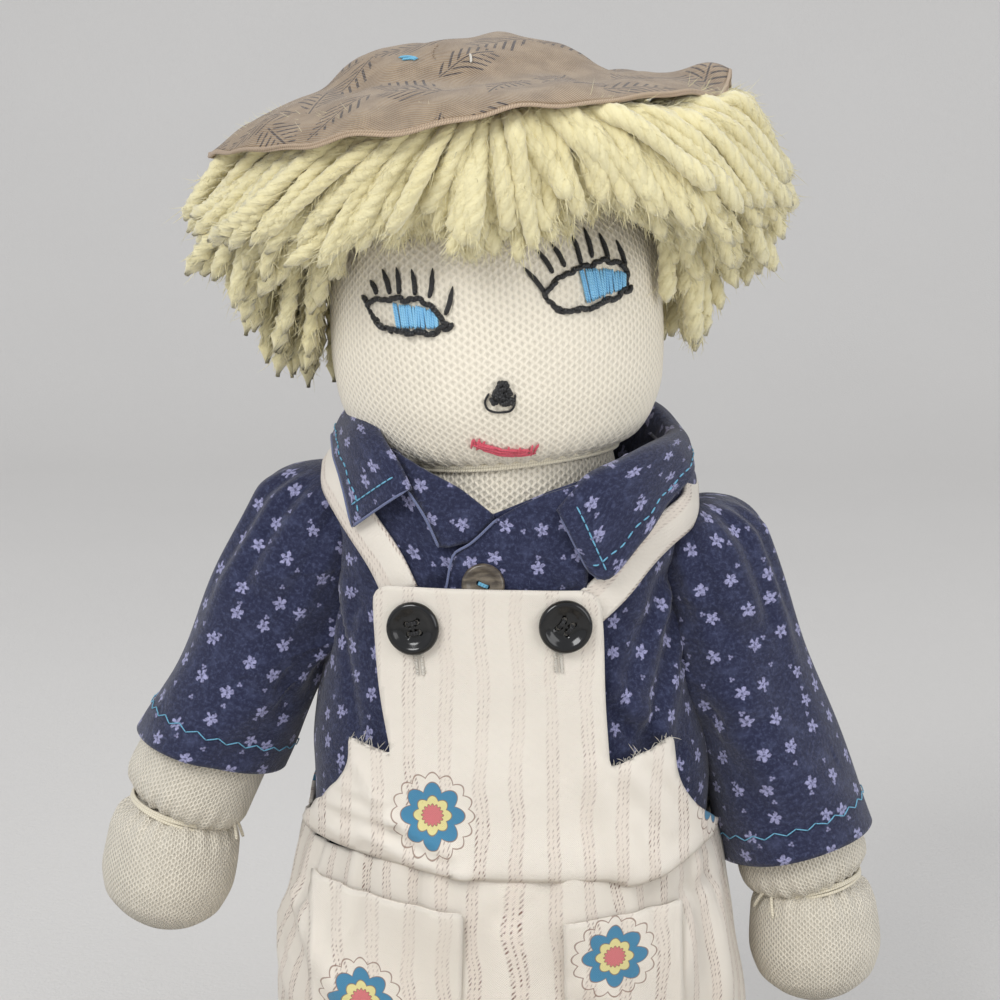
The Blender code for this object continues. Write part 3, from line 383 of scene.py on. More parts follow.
def fibres(name, starts, ways, curls, reach, radius, shade):
    """Many short fine hairs in one object, each a bent three-sided spike."""
    count = len(FIBRE_SHARES)
    t = np.linspace(0, 1, count)[None, :, None]
    starts, ways, curls = (np.asarray(a, float)[:, None, :] for a in (starts, ways, curls))
    line = starts + np.asarray(reach, float)[:, None, None] * (t * ways + t ** 2 * curls)
    ahead = unit(np.gradient(line, axis=1))
    side = unit(np.cross(ahead, np.broadcast_to(FIBRE_SLANT, ahead.shape)))
    other = np.cross(ahead, side)
    thin = np.asarray(radius, float)[:, None, None] * np.array(FIBRE_SHARES)[None, :, None]
    rings = [line + thin * (math.cos(a) * side + math.sin(a) * other) for a in np.arange(3) * math.tau / 3]
    points = np.stack(rings, 2).reshape(-1, 3)
    quads, _, _ = grid_faces(count, 3, True)
    per = 3 * count
    base = per * np.arange(len(line))[:, None, None]
    quads = (quads[None] + base).reshape(-1, 4).tolist()
    ends = (np.array([(2, 1, 0), (per - 3, per - 2, per - 1)])[None] + base).reshape(-1, 3).tolist()
    maps = {"thread": np.zeros((len(quads) * 4 + len(ends) * 3, 2))}
    return mesh_piece(name, points, quads + ends, maps, np.repeat(np.asarray(shade, float), per))


def twisted(line, plies, ply_radius, pitch):
    """The lines of a cord's plies, winding round its own line."""
    line = np.asarray(line, float)
    _, side, other = frames_along(line)
    along = lengths_along(line)
    reach = ply_radius / math.sin(math.pi / plies) * PLY_SQUEEZE_SHARE
    made = []
    for k in range(plies):
        turn = math.tau * (along / pitch + k / plies)
        made.append(line + reach * (np.cos(turn)[:, None] * side + np.sin(turn)[:, None] * other))
    return made


# ---------------------------------------------------------------- materials

class Value:
    """A socket of a material's nodes. Sums and products of values and numbers add nodes."""

    def __init__(self, graph, socket):
        self.graph = graph
        self.socket = socket

    def __add__(self, other):
        return self.graph.math("ADD", self, other)

    def __sub__(self, other):
        return self.graph.math("SUBTRACT", self, other)

    def __rsub__(self, other):
        return self.graph.math("SUBTRACT", other, self)

    def __mul__(self, other):
        return self.graph.math("MULTIPLY", self, other)

    def __truediv__(self, number):
        return self * (1 / number)

    def __abs__(self):
        return self.graph.math("ABSOLUTE", self)

    def fract(self):
        return self.graph.math("FRACT", self)

    def floor(self):
        return self.graph.math("FLOOR", self)

    def sin(self):
        return self.graph.math("SINE", self)

    def cos(self):
        return self.graph.math("COSINE", self)

    def root(self):
        return self.graph.math("SQRT", self)

    def clamped(self):
        self.socket.node.use_clamp = True
        return self


class Graph:
    """A material made of nodes. Its inputs take values, numbers and colours alike."""

    def __init__(self, name, **settings):
        self.material = bpy.data.materials.new(name)
        self.material.use_nodes = True
        self.tree = self.material.node_tree
        self.shader = self.tree.nodes["Principled BSDF"]
        for key, value in settings.items():
            self.put(self.shader.inputs[key.replace("_", " ")], value)

    def put(self, socket, value):
        if isinstance(value, Value):
            self.tree.links.new(value.socket, socket)
        elif isinstance(value, tuple) and len(value) == 3 and socket.type == "RGBA":
            socket.default_value = (*value, 1)
        else:
            socket.default_value = value

    def node(self, kind, inputs, output=0, **settings):
        """The value that a new node gives out. inputs has what goes in, by a socket's name or number."""
        made = self.tree.nodes.new(kind)
        for key, value in settings.items():
            setattr(made, key, value)
        for key, value in inputs.items():
            self.put(made.inputs[key], value)
        return Value(self, made.outputs[output])

    def math(self, operation, *values):
        return self.node("ShaderNodeMath", dict(enumerate(values)), operation=operation)

    def vector(self, operation, a, b):
        return self.node("ShaderNodeVectorMath", {0: a, 1: b}, operation=operation)

    def mix(self, share, a, b):
        return self.node("ShaderNodeMix", {"Factor": share, 6: a, 7: b}, 2, data_type="RGBA")

    def map(self, name):
        return self.node("ShaderNodeUVMap", {}, uv_map=name)

    def split(self, vector):
        x = self.node("ShaderNodeSeparateXYZ", {0: vector})
        return x, Value(self, x.socket.node.outputs[1])

    def noise(self, vector, scale, detail=2.0, roughness=0.5, stretch=None, output="Fac"):
        if stretch:
            vector = self.vector("MULTIPLY", vector, stretch)
        settings = {"Vector": vector, "Scale": scale, "Detail": detail, "Roughness": roughness}
        return self.node("ShaderNodeTexNoise", settings, output)

    def cells(self, place, scale, randomness):
        """The plane cut into cells: the place from the middle of its cell, and the cell's own turn."""
        settings = {"Vector": place, "Scale": scale, "Randomness": randomness}
        middle = self.node("ShaderNodeTexVoronoi", settings, "Position", voronoi_dimensions="2D")
        x, y = self.split(self.vector("SUBTRACT", place, middle))
        chance, _ = self.split(Value(self, middle.socket.node.outputs["Color"]))
        return x, y, chance * math.tau

    def between(self, low, high, value):
        """0 under low, 1 over high, smooth between; low may be the higher one."""
        settings = {"Value": value, "From Min": low, "From Max": high}
        return self.node("ShaderNodeMapRange", settings, interpolation_type="SMOOTHSTEP")

    def inside(self, away, soft=EDGE_SOFT):
        """1 where away is less than 0, with a soft edge."""
        return self.between(soft, -soft, away)

    def shade(self):
        return self.node("ShaderNodeAttribute", {}, "Fac", attribute_name="shade")

    def position(self):
        return self.node("ShaderNodeTexCoord", {}, "Object")

    def finish(self, colour, height, distance):
        """Sets the colour and the bump, and gives the material."""
        self.put(self.shader.inputs["Base Color"], colour)
        bump = self.node("ShaderNodeBump", {"Strength": 1.0, "Distance": distance, "Height": height})
        self.put(self.shader.inputs["Normal"], bump)
        return self.material


def linear(r, g, b):
    """A colour as it looks, from 0 to 1, as the light it returns."""
    return tuple(c / 12.92 if c <= 0.04045 else ((c + 0.055) / 1.055) ** 2.4 for c in (r, g, b))


KNIT_COLOUR = linear(0.92, 0.885, 0.815)
# Colour of the knit's gaps: the stuffing seen through them, darkened with painted shade
SHADED_KNIT_HOLE = linear(0.68, 0.65, 0.585)
HAIR_LIGHT = linear(0.905, 0.87, 0.7)
HAIR_DARK = linear(0.875, 0.82, 0.6)
HAT_LIGHT = linear(0.655, 0.565, 0.45)
HAT_DARK = linear(0.455, 0.37, 0.27)
HAT_PRINT = linear(0.17, 0.10, 0.065)
SHIRT_NAVY = linear(0.078, 0.100, 0.222)
SHIRT_PALE = linear(0.3, 0.33, 0.46)
SHIRT_FLOWER = linear(0.64, 0.64, 0.79)
COTTON = linear(0.93, 0.9, 0.85)
COTTON_STRIPE = linear(0.5, 0.385, 0.335)
ROSETTE_BLUE = linear(0.27, 0.53, 0.67)
ROSETTE_YELLOW = linear(0.90, 0.86, 0.60)
ROSETTE_PINK = linear(0.84, 0.47, 0.48)
ROSETTE_LINE = linear(0.52, 0.38, 0.30)

# Steps and sizes of weaves and prints
KNIT_DEPTH = 0.0005
THREAD_DEPTH = 0.0002
YARN_DEPTH = 0.0007
FLANNEL_DEPTH = 0.0005
WEAVE_DEPTH = 0.00025
BUTTON_DEPTH = 0.00004
WEAVE_STEP = 0.0007
TWILL_STEP = 0.0014
SPRAY_STEP = 0.031
SPRAY_REACH = 0.0200
SPRAY_LEAF_STEP = 0.0046
FLOWER_STEP = 0.0142
FLOWER_RADIUS = 0.0028
FLOWER_RAGGED = (0.0022, 0.0022, 0.0)
SPRIG_STEP = 0.0135
SPRIG_RADIUS = 0.0011
SPRIG_SHIFT = (0.0061, 0.0043, 0)
STRIPE_STEP = 0.0138
STRIPE_SWAY = 0.0080
DASH_STEP = 0.0021
ROSETTE_STEP = (0.125, 0.110)
ROSETTE_FIRST = (0.088, 0.113)


def knit_material(name, hole_strength, depth=KNIT_DEPTH):
    """Stocking knit: two threads a column that meet and part, with a gap between them, where the stuffing
    shows, drawn darker with painted shade.
    """
    g = Graph(name, Roughness=0.85, Sheen_Weight=0.25, Sheen_Roughness=0.5)
    place = g.map("knit")
    u, v = g.split(place)
    u = u + (g.noise(place, 0.35) - 0.5) * 0.5
    line = (v * math.tau).cos() * -0.10 + 0.25
    off = abs(abs(u.fract() - 0.5) - line)
    fibre = g.noise(place, 9.0, 3, stretch=(1.6, 0.45, 1.0))
    patch = g.noise(place, 0.09, 3)
    # painted shade: the gaps between the threads are coloured darker
    hole = g.between(0.17, 0.26, off)
    strength = g.between(0.25, 0.75, patch) * (hole_strength * 0.6) + hole_strength * 0.7
    gap = (hole * strength).clamped()
    cream = g.mix(fibre * 0.35, KNIT_COLOUR, linear(0.91, 0.885, 0.81))
    cream = g.mix(g.between(0.5, 0.9, patch) * 0.3, cream, linear(0.89, 0.865, 0.79))
    rib = g.between(0.20, 0.0, off) * 0.5
    return g.finish(g.mix(gap, cream, SHADED_KNIT_HOLE), rib + fibre * 0.3 - hole * 0.35, depth)


def thread_material(name, light, dark, gloss, sheen, twist):
    """Floss or string: slanting fibres round each thread."""
    g = Graph(name, Roughness=gloss, Sheen_Weight=sheen)
    place = g.map("thread")
    u, v = g.split(place)
    slant = u * twist + v
    ridge = abs((slant * math.tau).sin())
    share = ridge * 0.5 + g.noise(place, 3.0) * 0.5
    share = (share * 0.7 + g.shade() * 0.3).clamped()
    return g.finish(g.mix(share, linear(*dark), linear(*light)), ridge, THREAD_DEPTH)


def yarn_material():
    """Thick wool yarn: fine fibres along each ply, and painted shade that darkens the grooves between the
    plies, so each ply is a little paler on its raised side.
    """
    g = Graph("yarn", Roughness=0.9, Sheen_Weight=0.6, Sheen_Roughness=0.45)
    place = g.map("thread")
    u, _ = g.split(place)
    streaks = g.noise(place, 2.2, 4, 0.65, stretch=(7.0, 0.5, 1.0))
    # painted shade in the grooves between the plies
    groove_shade = g.between(0.55, 0.05, abs((u * (2 * math.tau)).cos()))
    lump = g.noise(g.position(), 60.0)
    # the shade attribute holds each strand's own tone, with painted shade towards its root
    share = g.shade() * 0.75 + (streaks - 0.5) * 0.9 + (lump - 0.5) * 0.5
    share = (share + 0.18 - groove_shade * 0.22).clamped()
    return g.finish(g.mix(share, HAIR_DARK, HAIR_LIGHT), streaks, YARN_DEPTH)


def flannel_material():
    """Brushed navy cotton with small five-petalled flowers, all over."""
    g = Graph("flannel", Roughness=0.95, Sheen_Weight=0.22, Sheen_Roughness=0.5)
    place = g.map("cloth")
    fuzz = g.noise(place, 620.0, 5, 0.75)
    cloud = g.noise(place, 150.0, 4, 0.65)
    base = g.mix(g.between(0.45, 0.72, fuzz) * 0.62, SHIRT_NAVY, SHIRT_PALE)
    base = g.mix(g.between(0.48, 0.72, cloud) * 0.30, base, SHIRT_PALE)
    stir = g.vector("SUBTRACT", g.noise(place, 700.0, output="Color"), (0.5, 0.5, 0.5))
    ragged = g.vector("ADD", place, g.vector("MULTIPLY", stir, FLOWER_RAGGED))
    strands = g.noise(place, 260.0, 4, 0.8, stretch=(2.6, 0.7, 1.0))
    base = g.mix(g.between(0.60, 0.78, strands) * 0.45, base, linear(0.46, 0.49, 0.62))
    flower = flowers(g, ragged, FLOWER_STEP, FLOWER_RADIUS, 5)
    sprig = flowers(g, g.vector("ADD", place, SPRIG_SHIFT), SPRIG_STEP, SPRIG_RADIUS, 3)
    ink = g.math("MAXIMUM", flower, sprig * 0.8)
    worn = (g.between(0.32, 0.6, fuzz) * 0.6 + 0.30).clamped()
    return g.finish(g.mix(ink * worn, base, SHIRT_FLOWER), fuzz + cloud, FLANNEL_DEPTH)


def flowers(g, place, step, radius, petals):
    """1 inside small flowers, one to a cell, each turned its own way."""
    x, y, turn = g.cells(place, 1 / step, 0.55)
    angle = g.math("ARCTAN2", y, x) + turn
    lobe = abs((angle * (petals / 2)).cos())
    edge = (lobe * 0.68 + 0.32) * radius
    far = (x * x + y * y).root()
    heart = g.between(radius * 0.12, radius * 0.26, far)
    return g.inside(far - edge) * (heart * 0.7 + 0.3)


def twill_material():
    """Taupe twill: fine slanting ribs, and printed sprigs of dashes."""
    g = Graph("hat_twill", Roughness=0.85, Sheen_Weight=0.3, Sheen_Roughness=0.5)
    place = g.map("cloth")
    x, y = g.split(place)
    rib = ((x + y) * (math.tau / TWILL_STEP)).sin() * 0.5 + 0.5
    worn = g.between(0.3, 0.7, g.noise(place, 90.0, 4, 0.6))
    speck = g.noise(place, 1400.0)
    share = rib * 0.52 + worn * 0.48
    share = (share + (speck - 0.5) * 0.5).clamped()
    base = g.mix(share, HAT_DARK, HAT_LIGHT)
    a, b, turn = g.cells(place, 1 / SPRAY_STEP, 0.8)
    cos = turn.cos()
    sin = turn.sin()
    stem = a * cos + b * sin
    off = abs(b * cos - a * sin)
    reach = (SPRAY_REACH - abs(stem)) * 0.50
    leaf = ((stem - off) / SPRAY_LEAF_STEP).fract()
    gap = g.between(0.37, 0.30, abs(leaf - 0.5))
    dash = (1.0 - gap) * g.between(-0.0003, 0.0004, reach - off)
    dash = dash * g.between(0.0008, 0.0016, off)
    along = g.between(0.0005, 0.0003, off) * g.between(0.0, 0.0008, reach)
    broken = g.between(0.26, 0.42, g.noise(place, 600.0, 1))
    ink = g.math("MAXIMUM", dash, along) * broken
    return g.finish(g.mix(ink * 0.95, base, HAT_PRINT), rib + speck * 0.8, WEAVE_DEPTH)


def cotton_material(name, rosettes):
    """Cream cotton with stripes of fine broken slanting dashes, and rosettes here and there."""
    g = Graph(name, Roughness=0.8, Sheen_Weight=0.15)
    place = g.map("cloth")
    x, y = g.split(place)
    sway = g.noise(place, 26.0)
    across = (x + (sway - 0.5) * STRIPE_SWAY) / STRIPE_STEP
    off = abs(across.fract() - 0.5)
    band = g.between(0.21, 0.15, off)
    pair = g.between(0.02, 0.06, abs(off - 0.06))
    faint = (across.floor() * 0.381).fract()
    slant = y - x * 1.5
    patchy = g.between(0.35, 0.65, g.noise(place, 45.0, 3, 0.6))
    dash = g.between(-0.4, 0.6, (slant * (math.tau / DASH_STEP)).sin())
    broken = g.between(0.36, 0.60, g.noise(place, 420.0, 3, 0.7))
    ink = band * pair * (dash * broken) * (faint * 0.45 + 0.5) * (patchy * 0.6 + 0.4)
    # Painted light: the stripes print strongest low on the cloth's map and fainter higher up, standing in
    # for the brighter light on the bib
    strong = g.between(0.21, 0.15, y) * 0.75 + 0.6
    ink = (ink * strong).clamped()
    wash = band * 0.10 * strong
    weave = (x * (math.tau / WEAVE_STEP)).sin() * (y * (math.tau / WEAVE_STEP)).sin()
    patch = g.noise(place, 30.0, 4, 0.6)
    base = g.mix(g.between(0.4, 0.8, patch) * 0.25, COTTON, linear(0.87, 0.83, 0.78))
    base = g.mix(wash + sway * 0.03, base, linear(0.84, 0.72, 0.65))
    base = g.mix(ink, base, COTTON_STRIPE)
    if rosettes:
        base = add_rosettes(g, place, base)
    return g.finish(base, weave * 0.5 + g.noise(place, 1500.0), WEAVE_DEPTH)


def add_rosettes(g, place, base):
    """Plain eight-petalled rosettes in rings of blue, yellow and pink, in a brick layout."""
    x, y = g.split(place)
    level = (y - ROSETTE_FIRST[1]) / ROSETTE_STEP[1]
    shift = (level.floor() * 0.5).fract() * ROSETTE_STEP[0]
    a = (((x + shift + ROSETTE_FIRST[0]) / ROSETTE_STEP[0]).fract() - 0.5) * ROSETTE_STEP[0]
    b = (level.fract() - 0.5) * ROSETTE_STEP[1]
    far = (a * a + b * b).root()
    angle = g.math("ARCTAN2", b, a)
    lobe = abs((angle * 4).cos())
    small = abs((angle * 8).cos())

    scallop = abs(far - (small * 0.0021 + 0.0142))
    lines = g.between(0.0004, 0.0002, scallop)
    for radius, wave, lobes, colour, line in (
        (0.0092, 0.0034, lobe, ROSETTE_BLUE, (0.00032, 0.00016)),
        (0.0058, 0.0017, lobe, ROSETTE_YELLOW, (0.00030, 0.00014)),
        (0.0034, 0.0009, small, ROSETTE_PINK, (0.00030, 0.00014)),
    ):
        away = far - (lobes * wave + radius)
        base = g.mix(g.inside(away), base, colour)
        lines = g.math("MAXIMUM", lines, g.between(*line, abs(away)))
    return g.mix(lines * 0.75, base, ROSETTE_LINE)


def button_material(name, light, dark, roughness, streak):
    """Turned plastic or horn, cloudy along its grain."""
    g = Graph(name, Roughness=roughness, Specular_IOR_Level=0.35, Coat_Weight=0.3, Coat_Roughness=0.06)
    place = g.position()
    cloud = g.noise(place, streak, 4, 0.6, stretch=(1.0, 1.0, 3.0))
    g.put(g.shader.inputs["Roughness"], g.noise(place, 900.0) * 0.1 + (roughness - 0.05))
    colour = g.mix(g.between(0.35, 0.7, cloud), linear(*dark), linear(*light))
    return g.finish(colour, g.noise(place, 500.0), BUTTON_DEPTH)


knit = knit_material("knit", 0.42)
knit_open = knit_material("knit_open", 0.75, 0.0009)
yarn = yarn_material()
flannel = flannel_material()
twill = twill_material()
cotton = cotton_material("overall_cotton", True)
hat_cord = thread_material("hat_cord", (0.80, 0.71, 0.60), (0.46, 0.37, 0.30), 0.7, 0.2, 1.5)
worn_edge = thread_material("worn_edge", (0.50, 0.53, 0.66), (0.24, 0.28, 0.44), 0.9, 0.2, 2.0)
cotton_plain = cotton_material("strap_cotton", False)
string = thread_material("string", (0.93, 0.90, 0.82), (0.78, 0.74, 0.64), 0.75, 0.3, 1.0)
black_floss = thread_material("black_floss", (0.13, 0.13, 0.14), (0.035, 0.035, 0.04), 0.42, 0.1, 2.0)
blue_floss = thread_material("blue_floss", (0.62, 0.86, 0.97), (0.30, 0.62, 0.86), 0.4, 0.15, 2.0)
pink_floss = thread_material("pink_floss", (0.93, 0.42, 0.48), (0.74, 0.20, 0.30), 0.45, 0.15, 2.0)
cyan_thread = thread_material("cyan_thread", (0.55, 0.82, 0.92), (0.28, 0.62, 0.80), 0.5, 0.1, 2.0)
white_thread = thread_material("white_thread", (0.92, 0.90, 0.86), (0.75, 0.72, 0.66), 0.6, 0.2, 2.0)
black_button = button_material("black_button", (0.035, 0.035, 0.035), (0.01, 0.01, 0.012), 0.16, 60.0)
brown_button = button_material("brown_button", (0.46, 0.42, 0.36), (0.25, 0.22, 0.19), 0.3, 120.0)


def dress(piece, material, body, *nodes, slot=None, fill=None):
    piece.data.materials.clear()
    piece.data.materials.append(material)
    if body:
        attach(piece, body)
    if nodes:
        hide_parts(*nodes)
    return piece


# ---------------------------------------------------------------- head

# Random lumps and folds of each cloth: height, and size across
HEAD_RUFFLE = (0.0011, 0.045)
SHIRT_RUFFLE = (0.0011, 0.028)
LIMB_RUFFLE = (0.0008, 0.03)
SLEEVE_RUFFLE = (0.0016, 0.03)
SEAT_RUFFLE = (0.0014, 0.035)
COLLAR_RUFFLE = (0.0006, 0.022)
TROUSER_RUFFLE = (0.0012, 0.035)
HEAD_FRAME = frame_matrix((0, 0, 0.290), math.radians(-4.6))
HEAD_HALF_WIDTH = 0.0665
HEAD_HALF_DEPTH = 0.0615
HEAD_LOW = 0.0115
HEAD_TALL = 0.123
HEAD_SHARES = (
    (0, 0.655, 0.700), (0.03, 0.775, 0.800), (0.1, 0.885, 0.890), (0.22, 0.965, 0.968), (0.4, 1, 1),
    (0.54, 0.995, 1), (0.68, 0.95, 0.96), (0.8, 0.85, 0.86), (0.9, 0.68, 0.7), (0.965, 0.43, 0.45),
    (1, 0.1, 0.1),
)
KNIT_ROW = 0.0032
HEAD_COLUMNS = 92
RING = np.linspace(0, math.tau, 192, endpoint=False)


def knit_maps(cloth, columns, row_step=KNIT_ROW):
    """The knit's columns run round a tube, and its rows follow the tube's length."""
    count = cloth.points.shape[1]
    along = lengths_along(cloth.points[:, 0])

    def rule(row, column):
        return column / count * columns, np.interp(row, np.arange(len(along)), along) / row_step

    return {"knit": rule}


def oval(squareness):
    """An oval's shares across and back. Its first point is at the back, and it goes round by the left."""
    s = np.sin(RING)
    c = np.cos(RING)
    return -np.sign(s) * np.abs(s) ** (2 / squareness), np.sign(c) * np.abs(c) ** (2 / squareness)


def oval_rings(heights, wide, deep, squareness=2.0):
    """Oval rings about the upright axis."""
    x, y = oval(squareness)
    h = np.broadcast_to(np.asarray(heights, float)[:, None], (len(heights), len(RING)))
    return np.stack([np.outer(wide, x), np.outer(deep, y), h], -1)


shares = np.concatenate([
    np.linspace(0, 0.1, 18, endpoint=False), np.linspace(0.1, 0.85, 44, endpoint=False),
    np.linspace(0.85, 1, 28),
])
head_cloth = Cloth(oval_rings(
    HEAD_LOW + shares * HEAD_TALL,
    from_table(HEAD_SHARES, shares, 1) * HEAD_HALF_WIDTH,
    from_table(HEAD_SHARES, shares, 2) * HEAD_HALF_DEPTH,
), wrap=True)
head_cloth.ruffle(*HEAD_RUFFLE, 11, ease(0, 0.2, shares)[:, None])
gathers = 0.0006 * np.cos(RING * HEAD_COLUMNS / 2)
head_cloth.push(gathers[None, :] * ease(0.12, 0.0, shares)[:, None])
head_cloth.points = placed(head_cloth.points, HEAD_FRAME)
head = head_cloth.piece("head", knit_maps(head_cloth, HEAD_COLUMNS), (True, True))
dress(head, knit, "head", "head_skin", "head_stuffing", slot="knit", fill=0.9)

# The neck, whose knit is stretched, so its holes are wide
NECK_CENTRE = 0.290
NECK_RADIUS = 0.0412
NECK_LOW = 0.256
NECK_HIGH = 0.3035
NECK_FLARE = 0.006
NECK_TIE_RADIUS = 0.0436
STRING_RADIUS = 0.00085
neck_heights = np.linspace(NECK_LOW, NECK_HIGH, 30)
neck_wide = np.where(
    neck_heights > NECK_CENTRE,
    np.sqrt(np.maximum(NECK_RADIUS ** 2 - (neck_heights - NECK_CENTRE) ** 2, 0)),
    NECK_RADIUS + NECK_FLARE * ease(NECK_CENTRE, NECK_LOW, neck_heights),
)
neck_cloth = Cloth(oval_rings(neck_heights, neck_wide * 1.03, neck_wide * 1.03), wrap=True)
neck = neck_cloth.piece("neck_knit", knit_maps(neck_cloth, 64, 0.0030), (True, True))
dress(neck, knit_open, None, "neck", slot="knit", fill=0.9)
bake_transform(neck)

# The string under the chin, two turns of it, knotted at the back
tie_turn = np.linspace(0, math.tau, 97)
tie_lines = []
for drop, grow in ((0.0, 0.0), (-0.0013, -0.0004)):
    radius = NECK_TIE_RADIUS + grow
    tie_lines.append(placed(np.stack([
        radius * 1.012 * np.sin(tie_turn), radius * np.cos(tie_turn),
        np.full_like(tie_turn, 0.0118 + drop) + 0.0003 * np.sin(3 * tie_turn),
    ], 1), HEAD_FRAME))
neck_tie = tubes("neck_string", tie_lines, STRING_RADIUS, around=8)
dress(neck_tie, string, "head", "neck_tie", slot="cord")

# ---------------------------------------------------------------- face, in floss on the knit

FLOSS_LIFT = 0.0006
EYE_LINE_LIFT = 0.0008
EYE_LINE_RADIUS = 0.00108
LASH_RADII = (0.00045, 0.00105, 0.00095)
SECOND_LASH_RADIUS = 0.0006
SECOND_LASH_ASIDE = 0.0005
IRIS_RADIUS = 0.00056
IRIS_LIFT = 0.0005
IRIS_FORWARD = 0.0003
NOSE_RADIUS = 0.00095
NOSE_LOOP_RADIUS = 0.00045
MOUTH_RADIUS = 0.00050
MOUTH_LIFT = 0.0005
MOUTH_TICK_LIFT = 0.0009
head_ground = Ground(head)


def on_head(points, lift=EYE_LINE_LIFT):
    return np.array([head_ground.seen(px, py, lift) for px, py in points])


def back_stitches(points, count, lap=0.25, seed=3, wobble=0.0005):
    """Short thick stitches end to end on a line, each a little off it."""
    draw = np.random.default_rng(seed)
    line = through(points, count + 1)
    made = []
    for i in range(count):
        a = line[i]
        b = line[i + 1]
        step = b - a
        off = draw.normal(size=3) * wobble
        ends = np.array([a - lap * step, (a + b) / 2 + off, b + lap * step])
        made.append(through(ends + draw.normal(size=3) * wobble * 0.4, 6))
    return made


EYE_LINES = {
    "left": (
        ((369, 305), (376, 299), (404, 298), (421, 301), (435, 309), (443, 318), (449, 323)),
        ((369, 305), (373, 315), (382, 324), (394, 332), (417, 333), (435, 331), (449, 323)),
    ),
    "right": (
        ((544, 295), (554, 283), (567, 272), (584, 267), (601, 262), (617, 263), (626, 272), (627, 284)),
        ((544, 295), (549, 303), (557, 309), (571, 312), (588, 310), (601, 303), (617, 295), (627, 285)),
    ),
}
EYE_LASHES = {
    "left": (
        ((363, 295), (368, 303)), ((371, 280), (378, 294)), ((383, 269), (391, 294)),
        ((397, 267), (400, 294)),
        ((412, 269), (416, 295)), ((433, 268), (430, 298)), ((453, 286), (446, 315)),
    ),
    "right": (
        ((523, 267), (545, 293)), ((536, 249), (553, 273)), ((550, 242), (565, 267)),
        ((570, 232), (581, 265)),
        ((583, 228), (592, 258)), ((598, 233), (608, 260)), ((615, 240), (625, 267)),
    ),
}
# Each iris: its left edge, top to bottom, and its right edge, top to bottom
IRIS_CORNERS = {
    "left": ((395, 303), (399, 328), (437, 311), (438, 329)),
    "right": ((580, 268), (588, 303), (624, 272), (624, 288)),
}
IRIS_STITCHES = 19

for side in SIDES:
    upper, lower = EYE_LINES[side]
    stitches = back_stitches(on_head(upper), 15, seed=5, wobble=0.0006)
    stitches += back_stitches(on_head(lower), 16, lap=0.45, seed=6, wobble=0.0009)
    outline = tubes(f"eye_line_{side}", stitches, EYE_LINE_RADIUS, around=7, tips=0.5)
    dress(outline, black_floss, "head", f"eye_outline_{side}", slot="black_thread")
    lashes = []
    sizes = []
    for (top, foot) in EYE_LASHES[side]:
        bend = ((top[0] + foot[0]) / 2 + 1.0, (top[1] + foot[1]) / 2)
        line = through(on_head([top, bend, foot], FLOSS_LIFT), 10)
        lashes.append(line)
        sizes.append(np.interp(np.linspace(0, 1, 10), [0, 0.45, 1], LASH_RADII))
        second = line + SECOND_LASH_ASIDE * unit(np.cross(line[-1] - line[0], FRONT))
        lashes.append(second[2:])
        sizes.append(np.full(8, SECOND_LASH_RADIUS))
    lash_piece = tubes(f"lashes_{side}", lashes, sizes, around=6, tips=0.3)
    dress(lash_piece, black_floss, "head", slot="black_thread")
    left_top, left_foot, right_top, right_foot = (np.array(c, float) for c in IRIS_CORNERS[side])
    draw = np.random.default_rng(8)
    stitches = []
    for i in range(IRIS_STITCHES):
        t = i / (IRIS_STITCHES - 1)
        top = left_top + (right_top - left_top) * t + draw.normal(size=2) * 0.5
        foot = left_foot + (right_foot - left_foot) * t + draw.normal(size=2) * 0.5
        top[1] += -1.5 * math.sin(math.pi * t)
        spots = on_head([top, (top + foot) / 2, foot], IRIS_LIFT)
        stitches.append(through(spots + FRONT * IRIS_FORWARD, 9))
    iris = tubes(f"iris_floss_{side}", stitches, IRIS_RADIUS, around=7, tips=0.5,
                 shades=list(draw.uniform(0, 1, IRIS_STITCHES)))
    dress(iris, blue_floss, "head", f"iris_{side}", slot="blue_thread")

# The nose: a small heap of crossing stitches over a thin loop
draw = np.random.default_rng(21)
nose_lines = []
for i in range(52):
    centre = np.array((502.0, 394.0)) + draw.normal(size=2) * np.array((7.0, 7.0))
    centre[1] = np.clip(centre[1], 383, 402)
    half_width = np.interp(centre[1], [383, 392, 402], [2.5, 7.5, 10.5])
    centre[0] = np.clip(centre[0], 502.5 - half_width, 502.5 + half_width)
    way = unit(draw.normal(size=2) * np.array((1.0, 0.8))) * draw.uniform(2.5, 4.5)
    lift = FLOSS_LIFT + 0.0013 * draw.uniform()
    nose_lines.append(through(on_head([centre - way, centre, centre + way], lift), 7))
NOSE_LOOP = ((489, 393), (485, 402), (488, 409), (498, 412), (509, 411), (514, 405), (515, 394))
nose_loop = through(on_head(NOSE_LOOP, FLOSS_LIFT), 30)
nose_sizes = [NOSE_RADIUS] * len(nose_lines) + [NOSE_LOOP_RADIUS]
nose = tubes("nose_floss", nose_lines + [nose_loop], nose_sizes, around=7, tips=0.5)
dress(nose, black_floss, "head", "nose", slot="black_thread")

